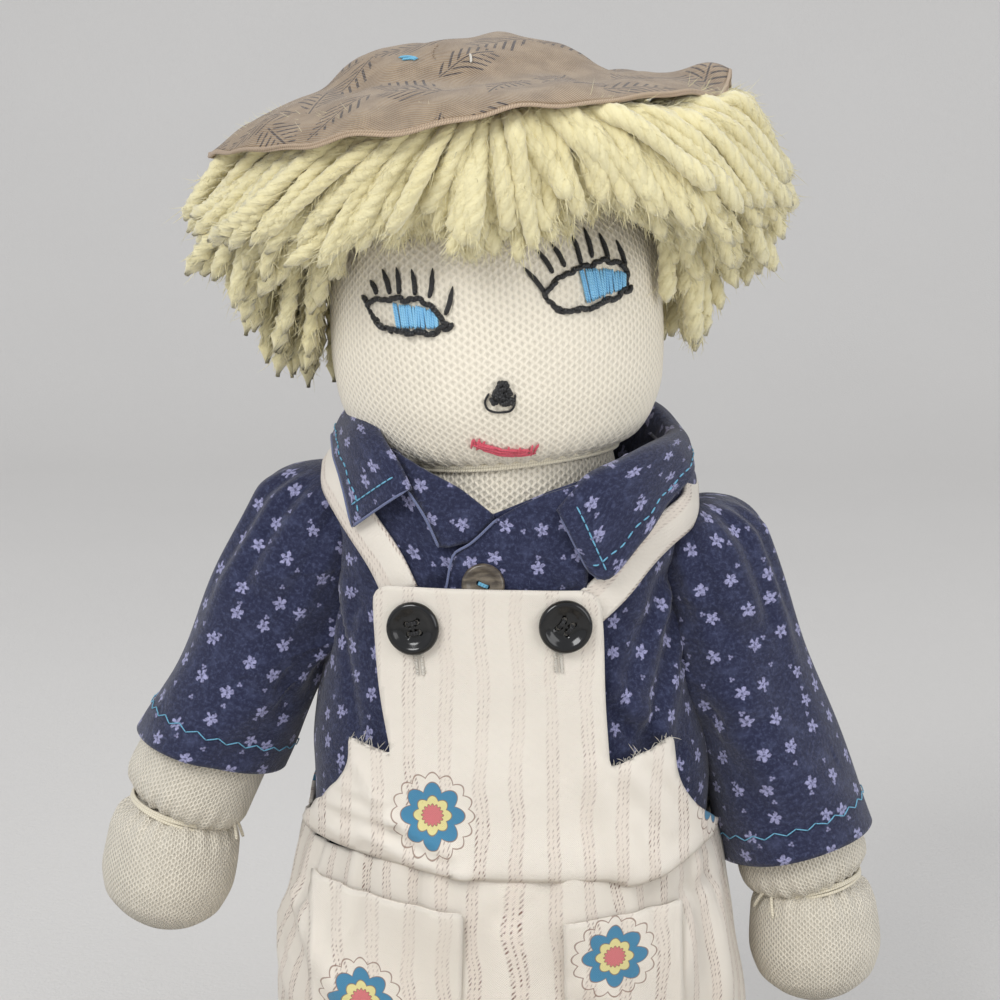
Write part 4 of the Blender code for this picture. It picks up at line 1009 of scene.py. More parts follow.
# The mouth: a bar of long stitches with ragged ends
MOUTH_LINE = ((472, 443), (486, 447), (503, 451), (520, 452), (537, 449))
draw = np.random.default_rng(22)
mouth_lines = []
mouth_centre = through([(x, y, 0.0) for x, y in MOUTH_LINE], 60)[:, :2]
for i in range(34):
    first = draw.integers(0, 42)
    last = min(59, first + draw.integers(12, 24))
    rise = draw.uniform(-3.6, 3.4) * math.sin(math.pi * (0.12 + 0.76 * (first + last) / 118))
    part = mouth_centre[first:last:3] + np.array((0, rise))
    mouth_lines.append(through(on_head(part, MOUTH_LIFT + 0.0007 * draw.uniform()), 9))
for k in (1, 3, 5, 8, 13, 20, 34, 41, 45, 49, 52, 55, 58):
    top = mouth_centre[k] + np.array((draw.normal() * 1.5, -draw.uniform(3.5, 8)))
    foot = mouth_centre[k] + np.array((draw.normal() * 2 - 2, draw.uniform(0, 4)))
    mouth_lines.append(through(on_head([top, (top + foot) / 2, foot], MOUTH_TICK_LIFT), 6))
mouth = tubes("mouth_floss", mouth_lines, MOUTH_RADIUS, around=6, tips=0.4,
              shades=list(draw.uniform(0, 1, len(mouth_lines))))
dress(mouth, pink_floss, "head", "mouth", slot="pink_thread")

# ---------------------------------------------------------------- hat

HAT_FRAME = frame_matrix((-0.0155, 0.002, 0.4285), math.radians(-6.7))
HAT_EDGE = 0.1020
HAT_TABLE = (  # share of the edge's radius, height
    (0, 0.0345), (0.15, 0.0345), (0.28, 0.0325), (0.38, 0.0290), (0.46, 0.0240), (0.53, 0.0195),
    (0.58, 0.0180),
    (0.70, 0.0158), (0.85, 0.0092), (1, 0.0),
)
CROWN_SHIFT = -0.001
HAT_THICK = 0.0016
CORD_PLY_RADIUS = 0.00075
CORD_PITCH = 0.0034
hat_shares = np.concatenate([
    np.linspace(0.01, 0.5, 34), np.linspace(0.515, 0.64, 12), np.linspace(0.655, 1, 30)
])


def hat_points():
    angle = RING
    share = hat_shares[:, None]
    x = -np.sin(angle)[None, :]
    y = np.cos(angle)[None, :]
    radius = share * HAT_EDGE
    flat = np.stack([radius * x, radius * y, 0 * radius * x], -1)
    shifted = flat[..., 0] - CROWN_SHIFT * ease(1.0, 0.6, share)
    height = from_table(HAT_TABLE, np.hypot(shifted, flat[..., 1]) / HAT_EDGE, 1)
    brim = ease(0.6, 1.0, share)
    # the brim waves a little, and its right end turns up
    height = height + brim * (0.0014 * np.sin(2 * angle + 0.6) + 0.0012 * np.sin(3 * angle + 2.0))[None, :]
    front = np.exp(-((angle - math.pi) / 0.95) ** 2)[None, :]
    height = height + front * brim * 0.0060
    behind = np.exp(-((angle - 1.66 * math.pi) / 0.35) ** 2)[None, :]
    height = height + behind * 0.0060 * ease(0.6, 0.95, share)
    arch = np.exp(-((angle - 1.47 * math.pi) / 0.15) ** 2)[None, :]
    height = height + arch * 0.0110 * ease(0.70, 0.98, share)
    left = np.exp(-((angle - 0.5 * math.pi) / 0.6) ** 2)[None, :]
    height = height + left * 0.002 * brim
    crown = ease(0.62, 0.45, share)
    height = height + crown * 0.0028 * waves(flat, 0.045, 31)
    height = height - 0.0040 * ease(0.0, 0.045, flat[..., 0]) * ease(1.0, 0.7, share)
    height = height + 0.0010 * waves(flat, 0.018, 32)
    return np.stack([flat[..., 0], flat[..., 1], height], -1)


hat_cloth = Cloth(placed(hat_points(), HAT_FRAME)[::-1], wrap=True)
flat_hat = hat_points()[::-1]


def hat_map(row, column):
    count = flat_hat.shape[1]
    angle = column / count * math.tau
    share = np.interp(row, np.arange(len(hat_shares)), hat_shares[::-1]) * HAT_EDGE
    return -share * np.sin(angle) * 1.05, share * np.cos(angle) * 1.05


hat = hat_cloth.piece("hat", {"cloth": hat_map}, (False, True))
thicken(hat, HAT_THICK)
dress(hat, twill, "head", "hat_crown", "hat_brim", slot="hat_twill")

# Its corded edge, its seam and its tacks
edge_line = np.concatenate([hat_cloth.points[0], hat_cloth.points[:1, 0]])
lowered = edge_line - np.array((0, 0, 0.0008))
cord_plies = twisted(lowered, 2, 0.00055, CORD_PITCH)
hat_edge = tubes("hat_edge", cord_plies, CORD_PLY_RADIUS, around=6, tips=1.0, shades=[0.35, 0.75])
dress(hat_edge, hat_cord, "head", "hat_binding", slot="hat_twill")
hat_ground = Ground(hat)


def on_hat(points, lift, count):
    return through([hat_ground.seen(px, py, lift) for px, py in points], count)


seam_line = on_hat(((438, 46), (434, 50), (433, 55), (436, 61)), 0.0004, 30)
seam_stitches = [seam_line[k:k + 3] for k in range(0, 28, 4)]
dress(tubes("hat_seam", seam_stitches, 0.00035, around=5), hat_cord, "head", slot="hat_twill")
TACKS = (((399, 59), (408, 58), (418, 60)), ((402, 61), (411, 60), (416, 61)))
tacks = [on_hat(line, 0.0006, 8) for line in TACKS]
dress(tubes("hat_tack", tacks, 0.00055, around=6), cyan_thread, "head", slot="blue_thread")
tack = on_hat(((470, 55), (471, 60), (471, 64)), 0.0006, 8)
dress(tubes("hat_stitch", [tack], 0.0005, around=6), white_thread, "head", slot="cord")

# ---------------------------------------------------------------- hair

HAIR_SEED = 44
YARN_RADIUS = 0.0036
YARN_LOBES = (4, 0.14, 0.026)
HAT_CLEAR = 0.0043
HAT_TO_WORLD = np.array(HAT_FRAME)
WORLD_TO_HAT = np.array(HAT_FRAME.inverted())
HEAD_TO_WORLD = np.array(HEAD_FRAME)
WORLD_TO_HEAD = np.array(HEAD_FRAME.inverted())
HAIR_MIDDLE_X = -0.004
# Degrees from the front, left less than 0; reach and height of the top tips, and of the lowest
HAIR_TIPS = (
    (-180, 0.100, 0.402, 0.079, 0.330), (-135, 0.112, 0.400, 0.080, 0.328),
    (-100, 0.119, 0.396, 0.079, 0.326),
    (-80, 0.118, 0.395, 0.077, 0.330), (-65, 0.112, 0.390, 0.076, 0.362), (-50, 0.098, 0.389, 0.074, 0.384),
    (-35, 0.088, 0.391, 0.072, 0.386), (-20, 0.081, 0.397, 0.070, 0.391), (-6, 0.079, 0.388, 0.070, 0.384),
    (6, 0.079, 0.396, 0.070, 0.3915), (15, 0.081, 0.397, 0.070, 0.393), (25, 0.085, 0.403, 0.071, 0.399),
    (40, 0.095, 0.403, 0.072, 0.396), (55, 0.104, 0.401, 0.073, 0.386), (70, 0.109, 0.402, 0.073, 0.364),
    (85, 0.1125, 0.408, 0.073, 0.346), (105, 0.111, 0.409, 0.075, 0.340), (135, 0.107, 0.404, 0.080, 0.334),
    (180, 0.100, 0.402, 0.079, 0.330),
)
HAIR_SWEEP = (  # degrees of a tip, and how far round from the parting its strand has come
    (-180, 0), (-135, -12), (-105, -26), (-78, -33), (-65, -38), (-55, -38), (-35, -26), (-9, -5),
    (2, 6), (12, 12),
    (27, 18), (55, 35), (70, 36), (85, 36), (105, 28), (135, 12), (180, 0),
)
# Degrees of a strand's start, and how far lower it leaves the hat there, as at the hat's right end
HAIR_LOW = (
    (-180, 0), (20, 0), (42, 0.0030), (60, 0.0080), (110, 0.0095), (150, 0), (180, 0),
)
HAIR_LAYERS = ((0.0, 92), (0.14, 90), (0.30, 86), (0.48, 80), (0.66, 74), (0.84, 68), (1.0, 62))
STRAND_POINTS = 24
FUZZ_PARTS = 2
TIP_HAIRS = 26
TIP_HAIR_RADIUS = 0.00026
TIP_HAIR_REACH = (0.0045, 0.0085)
SIDE_HAIRS = 58
SIDE_HAIR_RADIUS = 0.00012
SIDE_HAIR_REACH = (0.0035, 0.0080)
HAIR_TONE = 0.95
HAIR_DEGREES, *HAIR_PLACES = np.array(HAIR_TIPS).T


def head_radius(height, angle):
    """How far from the head's axis its surface is."""
    share = np.clip((height - HEAD_LOW) / HEAD_TALL, 0, 1)
    wide = np.maximum(from_table(HEAD_SHARES, share, 1) * HEAD_HALF_WIDTH, 1e-4)
    deep = np.maximum(from_table(HEAD_SHARES, share, 2) * HEAD_HALF_DEPTH, 1e-4)
    return 1 / np.sqrt((np.sin(angle) / wide) ** 2 + (np.cos(angle) / deep) ** 2)


hat_heights = hat_points()[..., 2]


def kept_clear(points):
    """A strand's points moved under the hat and out of the head."""
    p = placed(points, WORLD_TO_HAT)
    radius = np.hypot(p[:, 0], p[:, 1])
    angle = np.arctan2(-p[:, 0], p[:, 1]) % math.tau
    column = (angle / math.tau * len(RING)).astype(int) % len(RING)
    row = np.minimum(np.searchsorted(hat_shares, radius / HAT_EDGE), len(hat_shares) - 1)
    over = p[:, 2] - (hat_heights[row, column] - HAT_CLEAR)
    p[:, 2] -= np.where(radius < HAT_EDGE + 0.004, np.maximum(over, 0), 0)
    q = placed(placed(p, HAT_TO_WORLD), WORLD_TO_HEAD)
    across = np.hypot(q[:, 0], q[:, 1])
    clear = head_radius(q[:, 2], np.arctan2(q[:, 0], -q[:, 1])) + YARN_RADIUS * 0.75
    under_top = q[:, 2] < HEAD_LOW + HEAD_TALL * 0.97
    grow = np.where(under_top, np.maximum(clear / np.maximum(across, 1e-6), 1), 1)
    grow[0] = 1
    q[:, :2] *= grow[:, None]
    return placed(q, HEAD_TO_WORLD)


def around(degrees, reach, height):
    angle = math.radians(degrees)
    return np.array((HAIR_MIDDLE_X + math.sin(angle) * reach, -math.cos(angle) * reach, height))


def strand(draw, degrees, layer):
    """One strand's line: from its root on the head, out under the brim, and round and down to its tip."""
    top_reach, top_height, low_reach, low_height = (np.interp(degrees, HAIR_DEGREES, c) for c in HAIR_PLACES)
    reach = top_reach + (low_reach - top_reach) * layer ** 1.8 + draw.normal() * 0.0032
    height = top_height + (low_height - top_height) * layer ** 0.9 + draw.normal() * 0.0040
    tip = around(degrees, reach, height)
    sweep = np.interp(degrees, *np.array(HAIR_SWEEP).T) * (1 - 0.55 * layer) + draw.normal() * 3.0
    start = degrees - sweep
    low = float(np.interp(start, *np.array(HAIR_LOW).T))
    brim = around(start, 0.0945 - 0.023 * layer + draw.normal() * 0.0010, 0.455 - low - 0.024 * layer)
    brim = kept_clear(brim[None])[0]
    root = around(start, 0.052, 0.418 - 0.018 * layer)
    first = root + (brim - root) * 1.30 + UP * (0.016 - low) * (1 - layer)
    long = np.linalg.norm(tip - brim)
    droop = unit(unit(tip - brim) - UP * (0.10 + 0.35 * layer) + draw.normal(size=3) * 0.17)
    last = tip - droop * 0.5 * long
    t = np.linspace(0, 1, STRAND_POINTS)[:, None]
    line = (1 - t) ** 3 * root + 3 * t * (1 - t) ** 2 * first + 3 * t * t * (1 - t) * last + t ** 3 * tip
    wander = 0.0018 * np.sin(t * 6.0 + draw.uniform(0, 6)) * unit(draw.normal(size=3))
    line = line + wander * t
    for _ in range(4):
        line = kept_clear(line)
        line[1:-1] = (line[:-2] + 2 * line[1:-1] + line[2:]) / 4
    return kept_clear(line)


def wig():
    draw = np.random.default_rng(HAIR_SEED)
    bundles = {"front": [], "back": [], "left": [], "right": []}
    for n, (layer, count) in enumerate(HAIR_LAYERS):
        for i in range(count):
            degrees = (i + 0.5 * (n % 2) + draw.uniform(-0.3, 0.3)) / count * 360 - 180
            tuft = 10.5 * (math.floor(degrees / 10.5 + 0.37 * n) + 0.5 - 0.37 * n)
            degrees = min(max(degrees + 0.35 * (tuft - degrees), -180), 180)
            line = strand(draw, degrees, min(1.0, max(0.0, layer + draw.normal() * 0.05)))
            if abs(degrees) < 52:
                key = "front"
            elif abs(degrees) > 128:
                key = "back"
            else:
                key = "left" if degrees < 0 else "right"
            bundles[key].append((line, draw.uniform(0, 1), layer))
    return bundles


hair_draw = np.random.default_rng(45)
for key, strands in wig().items():
    sizes = []
    shades = []
    hairs = []
    for line, shade, layer in strands:
        share = np.linspace(0, 1, len(line))
        swell = 1 + 0.10 * np.sin(share * 13 + shade * 40) + 0.05 * np.sin(share * 29 + shade * 9)
        taper = np.interp(share, [0, 0.90, 0.97, 1], [0.9, 1, 0.92, 0.62])
        sizes.append(YARN_RADIUS * (0.86 + 0.3 * shade) * swell * taper)
        # each strand's tone differs at random, and painted shade darkens it towards its root, under the hat
        # and deep in the hair
        shades.append(0.40 + 0.30 * shade + 0.35 * ease(0.25, 1.0, share))
        ahead = unit(np.gradient(line, axis=0))
        # the frayed tip, and then the fuzz along the strand
        for _ in range(TIP_HAIRS):
            way = unit(ahead[-1] + 0.30 * unit(hair_draw.normal(size=3)))
            start = line[-3] + unit(hair_draw.normal(size=3)) * YARN_RADIUS * 0.6
            curl = hair_draw.normal(size=3) * 0.22
            reach = hair_draw.uniform(*TIP_HAIR_REACH)
            hairs.append((start, way, curl, reach, TIP_HAIR_RADIUS, HAIR_TONE))
        for _ in range(SIDE_HAIRS):
            k = int(hair_draw.integers(len(line) // 4, len(line) - 1))
            sideways = unit(hair_draw.normal(size=3))
            sideways = unit(sideways - ahead[k] * (sideways @ ahead[k]))
            way = unit(ahead[k] + 0.45 * sideways)
            start = line[k] + sideways * YARN_RADIUS * 0.9
            curl = hair_draw.normal(size=3) * 0.35
            reach = hair_draw.uniform(*SIDE_HAIR_REACH)
            hairs.append((start, way, curl, reach, SIDE_HAIR_RADIUS, HAIR_TONE))
    lines = [line for line, _, _ in strands]
    bundle = tubes(f"wig_{key}", lines, sizes, around=16, shades=shades, tips=0.4, lobes=YARN_LOBES)
    dress(bundle, yarn, "head", f"hair_{key}", slot="yarn")
    for part in range(FUZZ_PARTS):
        fuzz = fibres(f"wig_fuzz_{key}_{part}", *zip(*hairs[part::FUZZ_PARTS]))
        dress(fuzz, yarn, "head", slot="yarn")

# ---------------------------------------------------------------- torso and shirt

TORSO_TALL = 0.284
TORSO_SHARES = (
    (0, 0.80, 0.72), (0.03, 0.91, 0.88), (0.11, 0.98, 0.97), (0.29, 1, 1), (0.43, 0.91, 0.97),
    (0.52, 0.80, 0.94),
    (0.64, 0.73, 0.87), (0.78, 0.72, 0.83), (0.89, 0.71, 0.82), (0.955, 0.65, 0.82), (1, 0.545, 0.815),
)
TORSO_HALF_WIDTH = 0.086
TORSO_HALF_DEPTH = 0.054
torso_shares = np.linspace(0, 1, 60)
torso_cloth = Cloth(oval_rings(
    torso_shares * TORSO_TALL,
    from_table(TORSO_SHARES, torso_shares, 1) * TORSO_HALF_WIDTH - 0.0008,
    from_table(TORSO_SHARES, torso_shares, 2) * TORSO_HALF_DEPTH - 0.0008,
), wrap=True)
torso = torso_cloth.piece("torso", knit_maps(torso_cloth, 110), (True, True))
dress(torso, knit, "body", "torso_skin", "torso_stuffing", slot="knit", fill=0.85)

SHIRT_TABLE = (  # height, half width, half depth
    (0.105, 0.0800, 0.0550), (0.150, 0.0790, 0.0560), (0.180, 0.0800, 0.0550), (0.200, 0.0775, 0.0535),
    (0.225, 0.0735, 0.0510), (0.250, 0.0725, 0.0500), (0.268, 0.0735, 0.0492), (0.280, 0.0745, 0.0485),
    (0.290, 0.0735, 0.0482), (0.298, 0.0690, 0.0485), (0.304, 0.0620, 0.0500), (0.308, 0.0580, 0.0520),
)
SHIRT_TOP = 0.307
SHIRT_LOW = 0.105
SHIRT_ROWS = 100
SHIRT_FLAT = (0.42, 0.19)
SHIRT_THICK = 0.0013
NECKLINE = ((-1.3, 0.307), (-0.95, 0.307), (-0.78, 0.303), (-0.43, 0.2945), (-0.13, 0.2825), (0.27, 0.2925),
            (0.60, 0.2985), (0.90, 0.305), (1.3, 0.307))
NECK_HALF = 0.0470
NECK_SPAN = 0.058


def shirt_top(x, y):
    """How high the neckline is: down to a V in front."""
    if y >= 0:
        return SHIRT_TOP
    return float(np.interp(x / NECK_HALF, [p[0] for p in NECKLINE], [p[1] for p in NECKLINE]))


def shirt_points(cut=True):
    x, y = oval(2.25)
    made = np.zeros((SHIRT_ROWS, len(RING), 3))
    for k in range(len(RING)):
        top = shirt_top(x[k] * NECK_SPAN, y[k]) if cut else SHIRT_TOP
        h = np.linspace(SHIRT_LOW, top, SHIRT_ROWS)
        wide, deep = (from_table(SHIRT_TABLE, h, column) for column in (1, 2))
        made[:, k] = np.stack([x[k] * wide, y[k] * deep, h], 1)
    return made


shirt_cloth = Cloth(shirt_points(), wrap=True)


def shirt_map(row, column):
    return column / len(RING) * SHIRT_FLAT[0], np.interp(row, [0, SHIRT_ROWS - 1], [0.0, SHIRT_FLAT[1]])


SHIRT_CREASES = (  # start, end, width, height: from the armpits down, and about the buttons
    ((-0.068, -0.030, 0.250), (-0.060, -0.045, 0.205), 0.0050, 0.0040),
    ((-0.060, -0.040, 0.240), (-0.070, -0.045, 0.195), 0.0045, 0.0030),
    ((0.066, -0.030, 0.247), (0.050, -0.048, 0.205), 0.0050, 0.0045),
    ((0.074, -0.020, 0.240), (0.062, -0.040, 0.195), 0.0050, 0.0050),
    ((0.040, -0.048, 0.215), (0.066, -0.040, 0.190), 0.0050, 0.0040),
    ((-0.030, -0.048, 0.262), (-0.060, -0.040, 0.240), 0.0050, 0.0022),
    ((0.022, -0.048, 0.262), (0.060, -0.036, 0.240), 0.0050, 0.0022),
    ((-0.070, 0.010, 0.245), (-0.060, 0.040, 0.200), 0.0055, 0.0035),
    ((0.070, 0.010, 0.245), (0.058, 0.040, 0.200), 0.0055, 0.0035),
    ((-0.030, 0.050, 0.260), (-0.010, 0.052, 0.200), 0.0070, 0.0022),
    ((0.034, 0.050, 0.255), (0.012, 0.052, 0.210), 0.0070, 0.0022),
)
whole_front = Cloth(shirt_points(False), wrap=True)
for cloth in (shirt_cloth, whole_front):
    cloth.creases(SHIRT_CREASES)
    cloth.ruffle(*SHIRT_RUFFLE, 51)
guide = whole_front.piece("guide", {"cloth": shirt_map})
front_ground = Ground(guide)
shirt = shirt_cloth.piece("shirt", {"cloth": shirt_map})
thicken(shirt, SHIRT_THICK)
dress(shirt, flannel, "body", "shirt_body", slot="flannel")

# ---------------------------------------------------------------- arms, hands and sleeves

ARM = {  # shoulder, lean, length, sleeve length, hand lean, way to the wrist's knot, how far the hem slants
    "left": ((-0.078, 0, 0.265), 27.0, 0.126, 0.097, 11.0, (0.95, -0.3, 0.0), 0.006),
    "right": ((0.078, 0, 0.253), 19.5, 0.138, 0.119, 3.0, (-0.8, -0.6, 0.0), 0.003),
}
LIMB_ROW = 0.0024


def axes_matrix(place, x, y, z):
    """A place and its three directions as a matrix."""
    m = Matrix.Identity(4)
    for column, way in enumerate((x, y, z, place)):
        for row in range(3):
            m[row][column] = way[row]
    return m


def limb_frame(place, lean, sign):
    """Its -Z runs down the limb, and its X points away from the body."""
    down = np.array((sign * math.sin(lean), 0.0, -math.cos(lean)))
    out = np.array((sign * math.cos(lean), 0.0, math.sin(lean)))
    return axes_matrix(place, out, (0, 1, 0), -down), down


def tube_cloth(lengths, table, deep=1.0):
    """A tube down -Z, as wide at each length as its table of lengths and radii says."""
    radii = smooth_curve(*zip(*table), lengths)
    return Cloth(oval_rings(-lengths, radii, radii * deep)[::-1], wrap=True)


def stuffed(name, lengths, table, matrix, gather, seed, deep=1.0, columns=66):
    """A stuffed knit tube in its place. gather has the length, reach and height of the pleats at its tie."""
    cloth = tube_cloth(lengths, table, deep)
    cloth.ruffle(*LIMB_RUFFLE, seed)
    pleats = np.cos(RING * columns / 3) + 0.5 * np.cos(RING * columns / 4 + 1)
    length, reach, height = gather
    near = np.exp(-((-cloth.points[..., 2] - length) / reach) ** 2)
    cloth.push(height * near * pleats[None, :])
    stand(cloth, matrix)
    return cloth.piece(name, knit_maps(cloth, columns, LIMB_ROW), (True, True))


def tie_rounds(centre, normal, radius, thickness, seed):
    """Three turns of string round a limb, whose direction is normal."""
    draw = np.random.default_rng(seed)
    side = unit(np.cross(normal, (0.0, 1.0, 0.0)))
    front = np.cross(normal, side)
    t = np.linspace(0, math.tau, 61)
    ring = radius * (np.cos(t)[:, None] * side + np.sin(t)[:, None] * front)
    lines = []
    for k in (-1, 0, 1):
        wave = 0.0004 * np.sin(2 * t + draw.uniform(0, 6))
        lines.append(np.asarray(centre) + normal * k * thickness * 1.5 + ring + wave[:, None] * normal)
    return lines


def knot_lines(place, out, along, size, tail, seed):
    """A small overhand knot with two loose ends."""
    draw = np.random.default_rng(seed)
    out = unit(out)
    along = unit(along)
    across = np.cross(out, along)
    t = np.linspace(0, math.tau, 25)
    ring = place + out * size * 0.6 + size * (
        np.cos(t)[:, None] * along + 0.8 * np.sin(t)[:, None] * across
        + 0.5 * np.sin(2 * t)[:, None] * out)
    ends = []
    for sign in (-1, 1):
        way = unit(across * sign * 0.6 - UP * 0.9 + out * 0.5 + draw.normal(size=3) * 0.15)
        stops = [place + out * size, place + out * size * 1.5 + way * tail * 0.5,
                 place + out * size * 1.2 + way * tail - UP * tail * 0.25]
        ends.append(through(stops, 10))
    return [ring] + ends


def ring_of_stitches(name, node, body, count, level):
    """Stitches round the ring that is a joint's node; level is the number of its thin axis."""
    low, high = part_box(node)
    centre = np.array((low + high) / 2)
    half = np.array((high - low) / 2)
    across, rise = (axis for axis in range(3) if axis != level)
    stitches = []
    for k in range(count):
        arc = np.linspace(math.tau * k / count, math.tau * (k + 0.8) / count, 5)
        line = np.zeros((len(arc), 3))
        line[:, level] = 0.3 * half[level] * math.cos(k * math.pi)
        line[:, across] = (half[across] - SEAM_RADIUS) * np.cos(arc)
        line[:, rise] = (half[rise] - SEAM_RADIUS) * np.sin(arc)
        stitches.append(centre + line)
    dress(tubes(name, stitches, SEAM_RADIUS, around=5), white_thread, body, node, slot="cord")


SEAM_RADIUS = 0.0008
SLEEVE_FLAT = 0.185
SLEEVE_CAP_LENGTH = 0.03
SLEEVE_TOP = 0.0300
SLEEVE_FOLDS = (  # start and end in the arm's frame, width, height
    ((-0.030, -0.012, -0.010), (-0.020, -0.020, -0.050), 0.0060, 0.0035),
    ((-0.026, -0.016, 0.004), (0.010, -0.026, -0.018), 0.0050, 0.0022),
    ((-0.028, -0.010, -0.030), (-0.004, -0.028, -0.052), 0.0055, 0.0025),
    ((-0.028, 0.010, -0.020), (-0.006, 0.028, -0.050), 0.0060, 0.0025),
    ((0.020, -0.022, -0.030), (0.024, -0.018, -0.075), 0.0075, 0.0016),
    ((-0.010, -0.029, -0.060), (0.004, -0.030, -0.095), 0.0070, 0.0018),
    ((0.000, 0.029, -0.030), (0.010, 0.030, -0.085), 0.0070, 0.0020),
)
HAND_TABLE = (  # length below the tie, radius
    (-0.002, 0.0182), (0.0008, 0.0196), (0.004, 0.0232), (0.011, 0.0260), (0.026, 0.0270), (0.038, 0.0240),
    (0.046, 0.0165), (0.0505, 0.0075), (0.052, 0.002),
)
ZIGZAGS = 23
ZIGZAG_LEVELS = (0.0115, 0.0135)
KNOT_RADIUS = 0.0016

for side, sign in SIDES.items():
    shoulder, lean, length, hem, hand_lean, knot_out, slant = ARM[side]
    matrix, down = limb_frame(shoulder, math.radians(lean), sign)
    # the arm: round at the shoulder, plump above the wrist
    table = (
        (-0.0245, 0.004), (-0.022, 0.011), (-0.014, 0.020), (0.0, 0.0245), (0.03, 0.0248), (0.07, 0.0246),
        (length - 0.020, 0.0258), (length - 0.011, 0.0262), (length - 0.005, 0.0244),
        (length - 0.0015, 0.0206),
        (length, 0.0188),
    )
    at = np.concatenate([
        np.linspace(-0.0245, length - 0.03, 50, endpoint=False), np.linspace(length - 0.03, length, 34)])
    arm = stuffed(f"arm_{side}_knit", at, table, matrix, (length, 0.010, 0.0005), 61 + sign)
    dress(arm, knit_open, f"arm_{side}", f"arm_skin_{side}", f"arm_stuffing_{side}", slot="knit", fill=0.85)
    # the hand: a bulb under the tie
    wrist = np.array(shoulder) + down * length
    hand_matrix, hand_down = limb_frame(wrist, math.radians(hand_lean), sign)
    at = np.concatenate([np.linspace(-0.002, 0.012, 16, endpoint=False), np.linspace(0.012, 0.052, 44)])
    hand = stuffed(f"hand_{side}_knit", at, HAND_TABLE, hand_matrix, (0.0, 0.008, 0.0006), 64 + sign, 0.97)
    dress(hand, knit_open, None, f"hand_skin_{side}", f"hand_stuffing_{side}", slot="knit", fill=0.9)
    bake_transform(hand)
    # the string at the wrist
    tie_way = unit(down + hand_down)
    out = unit(knot_out)
    lines = tie_rounds(wrist, tie_way, 0.0198, 0.0007, 70 + sign)
    lines += knot_lines(wrist + 0.0205 * out, out, tie_way, KNOT_RADIUS, 0.010, 75 + sign)
    wrist_string = tubes(f"wrist_string_{side}", lines, 0.0007, around=7, tips=0.8)
    dress(wrist_string, string, f"arm_{side}", f"wrist_tie_{side}", slot="cord")
    # the sleeve, whose hem slants: longer outside than inside
    table = (
        (-SLEEVE_TOP, 0.0035), (-0.0275, 0.0120), (-0.0200, 0.0225), (-0.007, 0.0290), (0.012, 0.0292),
        (0.040, 0.0290), (0.070, 0.0294), (hem - 0.012, 0.0302), (hem, 0.0308),
    )
    cloth = tube_cloth(np.linspace(-SLEEVE_TOP, hem, 90), table, 1.02)
    cloth.points[..., 2] -= slant * (cloth.points[..., 0] / 0.03) * ease(0.05, hem, -cloth.points[..., 2])
    cloth.creases(SLEEVE_FOLDS)
    cloth.ruffle(*SLEEVE_RUFFLE, 81 + sign)
    high = ease(-0.055, -0.005, cloth.points[..., 2]) * ease(0.026, 0.015, cloth.points[..., 2])
    puckers = np.cos(RING * 11 + 0.8 * np.sin(RING * 3)) + 0.6 * np.cos(RING * 17 + 1.0)
    cloth.push(0.0009 * puckers[None, :] * high)
    stand(cloth, matrix)
    rows = len(cloth.points)
    long = hem + SLEEVE_CAP_LENGTH

    def sleeve_map(row, column, long=long, rows=rows):
        return column / len(RING) * SLEEVE_FLAT + 0.3, np.interp(row, [0, rows - 1], [0, long]) + 0.3

    sleeve = cloth.piece(f"sleeve_{side}", {"cloth": sleeve_map}, (False, True))
    thicken(sleeve, SHIRT_THICK)
    dress(sleeve, flannel, f"arm_{side}", f"shirt_sleeve_{side}", slot="flannel")
    # the zigzag stitching above the hem
    t = np.linspace(0, 1, 6)
    zigzag = []
    for k in range(2 * ZIGZAGS):
        ra, rb = (level / (long / rows) for level in (ZIGZAG_LEVELS if k % 2 == 0 else ZIGZAG_LEVELS[::-1]))
        zigzag.append(cloth.at(ra + (rb - ra) * t, (k + t) / (2 * ZIGZAGS) * len(RING), 0.0005))
    zigzag = tubes(f"sleeve_stitches_{side}", zigzag, 0.00026, around=5, tips=0.8)
    dress(zigzag, cyan_thread, f"arm_{side}", slot="blue_thread")
    ring_of_stitches(f"shoulder_seam_{side}", f"shoulder_stitches_{side}", f"shoulder_{side}", 24, 0)

# ---------------------------------------------------------------- overalls

TROUSER_TABLE = (  # height, half width, half depth
    (0, 0.0850, 0.0480), (0.006, 0.0925, 0.0560), (0.020, 0.0955, 0.0600), (0.045, 0.0965, 0.0618),
    (0.085, 0.0955, 0.0635), (0.110, 0.0920, 0.0640), (0.130, 0.0875, 0.0642), (0.1425, 0.0855, 0.0640),
    (0.150, 0.0835, 0.0625),
)
SEAT_SQUARE = 2.4
SEAT_FLAT = (0.64, 0.20)
COTTON_THICK = 0.0013
PANEL_THICK = 0.0014
heights = np.concatenate([np.linspace(0, 0.02, 16, endpoint=False), np.linspace(0.02, 0.150, 54)])
wide = from_table(TROUSER_TABLE, heights, 1)
deep = from_table(TROUSER_TABLE, heights, 2)
seat_cloth = Cloth(oval_rings(heights, wide, deep, SEAT_SQUARE), wrap=True)
seat_cloth.points[0, :, 2] = 0
gathered = np.cos(RING * 26) + 0.6 * np.cos(RING * 41 + 1.3)
seat_cloth.push(0.0011 * gathered[None, :] * ease(0.09, 0.145, heights)[:, None])
